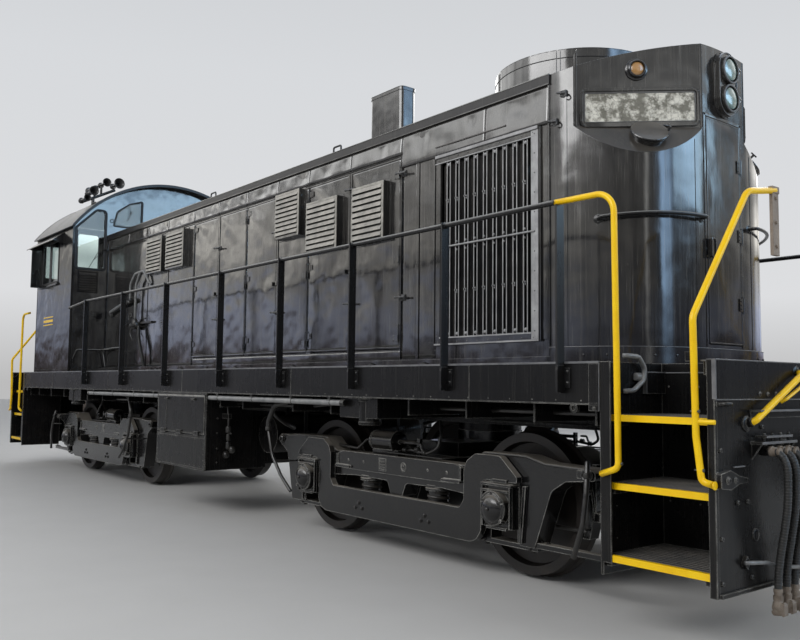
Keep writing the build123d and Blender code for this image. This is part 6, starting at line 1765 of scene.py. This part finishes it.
        # inner wall and back plate of the well
        box(kp, 5851, 5876, 946, 1137, 1336, 1464)
        box(ke, 5851, 5880, 946, 1140, 1462, 1468)
        box(ke, 5876, 6300, 944, 952, 1460, 1467)
        box(ke, 5851, 5879, 1134, 1140, 1336, 1464)
        kj = kit(f"well_pipe_{tag}", mat="pipe_pale", slot="coupling_iron", bevel=0.0)
        pipe(kj, [(5852, 1335, 1556), (5880, 1320, 1557), (5884, 1225, 1552), (5884, 1166, 1485), (5884, 1180, 1415), (5880, 1270, 1356), (5852, 1330, 1350)], 15, 10, 45)
        lathe(kj, (5862, 1190, 1436), (0, 1, 0), [(-40, 20), (-36, 24), (36, 24), (40, 20), (40, 0)], 10)
        box(kp, 6020, 6060, 944, 960, 1530, 1590)
        for x in (5900, 6100, 6300, 6460):
            rivet(kp, (x, 946, 1380), (0, 1, 0), 7)
            rivet(kp, (x, 946, 700), (0, 1, 0), 7)
        for z in (520, 700, 980, 1100):
            rivet(kp, (5851, 1400, z), (1, 0, 0), 6)
        # deck over the end platform: tread pattern
        kdk = kit(f"platform_tread_{tag}", mat="deck", slot="frame_black", bevel=0.0)
        for i in range(10):
            for j in range(14):
                x, y = 5850 + 64 * i + (32 if j % 2 else 0), 20 + 66 * j
                if x > 6480:
                    continue
                a = 0.6 if (i + j) % 2 else -0.6
                c, s_ = math.cos(a), math.sin(a)
                kdk.add([(x - 18 * c, y - 18 * s_, 1519.5), (x + 4 * s_, y - 4 * c, 1519.5), (x + 18 * c, y + 18 * s_, 1519.5), (x - 4 * s_, y + 4 * c, 1519.5), (x, y, 1523.2)],
                        [(0, 1, 4), (1, 2, 4), (2, 3, 4), (3, 0, 4), (3, 2, 1, 0)])
flip(1.0, 1.0)

# couplers: ribs, guard arm edge, pin heads
for end, sx in (("front", 1.0), ("rear", -1.0)):
    flip(sx, sx)
    kc = kit(f"coupler_trim_{end}", f"coupler_{end}_body", "coupler", "coupling_iron", bevel=3.0, segs=2)
    for z in (760, 1030):
        prism(kc, "z", loop([(6520, -74, 10), (6590, -168, 14), (6744, -182, 10), (6744, -150, 10), (6610, -130, 20), (6560, -60, 20), (6560, 60, 20), (6610, 140, 20), (6700, 168, 10), (6690, 190, 10), (6596, 170, 14), (6516, 74, 10)], 3), z, z + 14)
    lathe(kc, (6808, -122, 1076), (0, 0, 1), [(0, 40), (14, 40), (20, 32), (20, 0)], 20)
    ring(kc, (6640, 0, 1062), (0, 1, 0), 26, 8, 20, 8)
    box(kc, 6560, 6590, -30, 30, 1040, 1060)
    lathe(kc, (6808, -122, 700), (0, 0, 1), [(0, 14), (16, 34), (26, 34), (26, 0)], 20)
flip(1.0, 1.0)


# ---------------------------------------------------------------------------
# Plain stripes on the cab side
# ---------------------------------------------------------------------------
for side, sy in SIDES:
    flip(1.0, sy)
    kst = kit(f"cab_stripe_{side}", mat="yellow", slot="yellow_paint", bevel=0.0)
    box(kst, -4880, -4420, 1523.0, 1526.2, 2280, 2318)
    box(kst, -4880, -4420, 1523.0, 1526.2, 2350, 2364)
    box(kst, -4880, -4420, 1523.0, 1526.2, 2234, 2248)
flip(1.0, 1.0)


# ---------------------------------------------------------------------------
# Air hoses: one smooth curve each, with corrugated armour, clamps and coupling heads
# ---------------------------------------------------------------------------
ROUTE = [(6.600, 1.045), (6.690, 1.045), (6.688, .800), (6.668, .660), (6.640, .515), (6.622, .385), (6.622, .295)]


def spline_points(ob):
    """Points along the curve's own smooth line."""
    dg = bpy.context.evaluated_depsgraph_get()
    c = ob.copy()
    c.data = ob.data.copy()
    c.data.bevel_depth = 0.0
    COL.objects.link(c)
    dg.update()
    me = bpy.data.meshes.new_from_object(c.evaluated_get(dg), depsgraph=dg)
    pts = [c.matrix_world @ v.co for v in me.vertices]
    bpy.data.objects.remove(c)
    bpy.data.meshes.remove(me)
    return pts


for i, y in enumerate((-1.085, -0.995, -0.905)):
    cu = bpy.data.curves.new(f"air_hose_line_{i + 1}", "CURVE")
    cu.dimensions = "3D"
    sp = cu.splines.new("NURBS")
    sp.points.add(len(ROUTE) - 1)
    for p, (x, z) in zip(sp.points, ROUTE):
        p.co = (x, y, z, 1.0)
    sp.order_u = 3
    sp.use_endpoint_u = True
    sp.resolution_u = 16
    cu.bevel_depth = 0.019
    cu.bevel_resolution = 5
    cu.use_fill_caps = True
    cu.materials.append(MAT["rubber"])
    ob = bpy.data.objects.new(f"hose_{i + 1}", cu)
    COL.objects.link(ob)
    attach(ob, "carbody")
    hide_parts(f"air_hose_{i + 1}")
    pts = [p * 1000.0 for p in spline_points(ob)]
    ka = kit(f"hose_armour_{i + 1}", mat="armour", slot="hose_rubber", bevel=0.0)
    acc, nxt = 0.0, 30.0
    total = sum((b - a).length for a, b in zip(pts, pts[1:]))
    for a, b in zip(pts, pts[1:]):
        L = (b - a).length
        while L > 0 and nxt < acc + L and nxt < total - 70:
            t = (nxt - acc) / L
            ring(ka, tuple(a + (b - a) * t), tuple(b - a), 19.2, 3.0 if int(nxt / 15.0) % 2 else 2.2, 14, 5)
            nxt += 15.0
        acc += L
    kcl = kit(f"hose_head_{i + 1}", mat="gladhand", slot="coupling_iron", bevel=1.0)
    d0 = (pts[1] - pts[0]).normalized()
    lathe(kcl, tuple(pts[0] - d0 * 12), tuple(d0), [(0, 24), (2, 27), (24, 27), (26, 24), (42, 24), (44, 21), (44, 0)], 18)
    lathe(kcl, tuple(pts[0] + d0 * 40), tuple(d0), [(0, 20), (1, 23.5), (14, 23.5), (15, 20), (15, 0)], 18)
    # coupling head: neck, ported face, and the two hooked lugs
    yb = y * 1000
    lathe(kcl, (6622, yb, 340), (0, 0, -1), [(0, 19.6), (1, 23), (20, 23), (21, 20), (34, 20), (36, 25), (58, 25), (62, 21), (62, 0)], 18)
    lathe(kcl, (6622, yb, 286), (0.02, 0, -1), [(0, 22), (12, 25), (30, 30), (46, 26), (46, 0)], 18)
    lathe(kcl, (6628, yb - 19, 244), (0, 1, 0), [(0, 20), (2, 33), (14, 36), (26, 36), (34, 30), (38, 22), (38, 0)], 22)
    lathe(kcl, (6628, yb - 20, 244), (0, 1, 0), [(-1, 16), (1, 20), (2, 20), (2, 0)], 18)
    prism(kcl, "y", loop([(6600, 274, 6), (6660, 276, 12), (6664, 244, 10), (6650, 208, 12), (6600, 201, 12), (6588, 220, 10), (6606, 236, 8), (6596, 256, 6)], 4), yb - 14, yb + 12)
    prism(kcl, "y", loop([(6640, 270, 4), (6664, 266, 6), (6664, 210, 6), (6652, 202, 6), (6646, 220, 4), (6650, 250, 4)], 3), yb - 19.5, yb + 19.5)


for k in list(Kit.made.values()):
    ob = k.build()
    if ob is not None and k.name == "horn_bells":
        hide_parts("horn")
    if ob is not None and k.name == "hose_head_1":
        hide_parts("hose_couplings")


# ---------------------------------------------------------------------------
# Stage
# ---------------------------------------------------------------------------
def stage():
    me = bpy.data.meshes.new("floor")
    me.from_pydata([(-60, -60, 0), (60, -60, 0), (60, 60, 0), (-60, 60, 0)], [], [(0, 1, 2, 3)])
    ob = bpy.data.objects.new("floor", me)
    COL.objects.link(ob)
    m, nt, b = new_mat("floor_pale")
    c = coords(nt)
    n = noise_tex(nt, c, 2.0, 6.0)
    nt.links.new(mix(nt, n, (0.50, 0.495, 0.485, 1), (0.55, 0.545, 0.535, 1)), b.inputs["Base Color"])
    b.inputs["Roughness"].default_value = 0.7
    me.materials.append(m)
    # The camera and the soft light see a plain pale studio.  What the gloss paint mirrors is a set of large soft
    # panels and black flags hung round it, as a product photographer lights something black.
    w = bpy.data.worlds.new("studio")
    S.world = w
    w.use_nodes = True
    nt = w.node_tree
    nt.nodes.clear()
    out = nt.nodes.new("ShaderNodeOutputWorld")
    bg = nt.nodes.new("ShaderNodeBackground")
    tc = nt.nodes.new("ShaderNodeTexCoord")
    sp = nt.nodes.new("ShaderNodeSeparateXYZ")
    nt.links.new(tc.outputs["Generated"], sp.inputs[0])
    x, y, z = sp.outputs
    plain = ramp(nt, z, [(0.0, (0.62, 0.62, 0.62, 1)), (0.10, (0.9, 0.91, 0.93, 1)), (0.35, (0.85, 0.87, 0.9, 1)), (1.0, (0.45, 0.47, 0.5, 1))])
    # by elevation: z is its sine, moved to 0..1 at -0.1..0.9
    e = math_n(nt, "ADD", z, 0.1)
    bands = ramp(nt, e, [(0.0, (0.06, 0.055, 0.055, 1)), (0.11, (0.10, 0.085, 0.085, 1)), (0.130, (0.26, 0.20, 0.21, 1)), (0.150, (0.85, 0.95, 1.25, 1)),
                         (0.190, (1.05, 1.13, 1.40, 1)), (0.215, (1.0, 0.98, 0.93, 1)), (0.24, (0.80, 0.78, 0.74, 1)), (0.265, (2.1, 2.02, 1.86, 1)),
                         (0.285, (1.9, 1.84, 1.72, 1)), (0.31, (0.6, 0.59, 0.57, 1)), (0.345, (2.6, 2.55, 2.45, 1)), (0.375, (0.6, 0.6, 0.6, 1)), (0.40, (0.9, 0.9, 0.9, 1)), (0.43, (2.9, 2.9, 2.85, 1)), (0.56, (3.0, 3.0, 3.0, 1)), (0.62, (1.2, 1.25, 1.3, 1)), (0.65, (2.6, 2.6, 2.6, 1)), (0.76, (2.6, 2.6, 2.6, 1)), (0.80, (1.3, 1.45, 1.7, 1)), (1.0, (1.4, 1.6, 1.9, 1))])
    # by bearing: uprights and gaps between the panels
    ang = math_n(nt, "MULTIPLY", math_n(nt, "ARCTAN2", y, x), 0.1591549)
    ang = math_n(nt, "ADD", ang, 0.5)
    turn = ramp(nt, ang, [(0.0, grey(1.0)), (0.03, grey(1.0)), (0.045, grey(0.55)), (0.055, grey(1.05)), (0.088, grey(1.0)), (0.096, grey(0.55)), (0.104, grey(1.0)),
                          (0.135, grey(0.9)), (0.142, grey(0.5)), (0.150, grey(1.0)), (0.20, grey(0.8)), (0.26, grey(0.6)), (0.33, grey(0.42)), (0.385, grey(0.30)),
                          (0.43, grey(0.28)), (0.458, grey(0.22)), (0.51, grey(0.30)), (0.60, grey(0.22)),
                          (0.66, grey(0.30)), (0.70, grey(0.6)), (0.75, grey(0.9)), (1.0, grey(1.0))])
    pat = ramp(nt, noise_tex(nt, tc.outputs["Generated"], 5.0, 4.0, 0.5, (1.0, 1.0, 0.5)), [(0.3, grey(0.55)), (0.7, grey(1.5))])
    shaped = mix(nt, 1.0, bands, turn, "MULTIPLY")
    high = ramp(nt, z, [(0.14, grey(0)), (0.22, grey(0.45)), (0.31, grey(1)), (0.45, grey(1)), (0.65, grey(0))])
    ahead = ramp(nt, ang, [(0.505, grey(0)), (0.525, grey(1)), (0.605, grey(1)), (0.635, grey(0))])
    shaped = mix(nt, math_n(nt, "MULTIPLY", high, ahead), shaped, (1.7, 2.6, 3.8, 1))
    calm = ramp(nt, z, [(0.07, grey(0.35)), (0.14, grey(1))])
    shaped = mix(nt, calm, shaped, mix(nt, 1.0, shaped, pat, "MULTIPLY"))
    glint = ramp(nt, ang, [(0.436, grey(0)), (0.443, grey(1)), (0.451, grey(1)), (0.458, grey(0))])
    below = ramp(nt, z, [(0.0, grey(0.2)), (0.16, grey(0.7)), (0.24, grey(1)), (0.31, grey(1)), (0.36, grey(0))])
    shaped = mix(nt, math_n(nt, "MULTIPLY", glint, below), shaped, (2.9, 2.9, 2.8, 1))
    strip = ramp(nt, ang, [(0.482, grey(0)), (0.494, grey(1)), (0.508, grey(1)), (0.528, grey(0))])
    tall = ramp(nt, z, [(0.01, grey(0.0)), (0.06, grey(0.25)), (0.12, grey(0.7)), (0.20, grey(1)), (0.5, grey(1)), (0.7, grey(0))])
    shaped = mix(nt, math_n(nt, "MULTIPLY", strip, tall), shaped, (3.4, 5.2, 7.6, 1))
    lp = nt.nodes.new("ShaderNodeLightPath")
    nt.links.new(mix(nt, lp.outputs["Is Glossy Ray"], plain, shaped), bg.inputs[0])
    dim = math_n(nt, "MULTIPLY", lp.outputs["Is Diffuse Ray"], -0.25)
    nt.links.new(math_n(nt, "ADD", dim, 0.8), bg.inputs[1])
    nt.links.new(bg.outputs[0], out.inputs[0])

    def area(name, loc, target, size, size_y, power, color=(1, 1, 1)):
        l = bpy.data.lights.new(name, "AREA")
        l.shape = "RECTANGLE"
        l.size, l.size_y = size, size_y
        l.energy = power
        l.color = color
        o = bpy.data.objects.new(name, l)
        COL.objects.link(o)
        o.location = loc
        o.rotation_mode = "QUATERNION"
        o.rotation_quaternion = (Vector(target) - Vector(loc)).to_track_quat("-Z", "Y")
        return o

    area("key", (4.0, -12.0, 9.0), (0.5, 0.0, 2.0), 12, 5, 1150)
    area("front", (15.0, 3.0, 6.0), (5.0, 0.0, 2.2), 7, 5, 420, (0.95, 0.98, 1.0)).visible_glossy = False
    # a sheet of blue sky that only the polished cab front mirrors
    sky = area("sky", (20.0, 10.4, 8.4), (-3.4, 0.0, 3.6), 15, 3.8, 800, (0.50, 0.76, 1.0))
    sky.visible_diffuse = False
    sky.visible_camera = False
    sky.visible_transmission = False
    area("back", (-4.0, 12.0, 9.0), (0.0, 0.0, 3.0), 14, 6, 950)


stage()
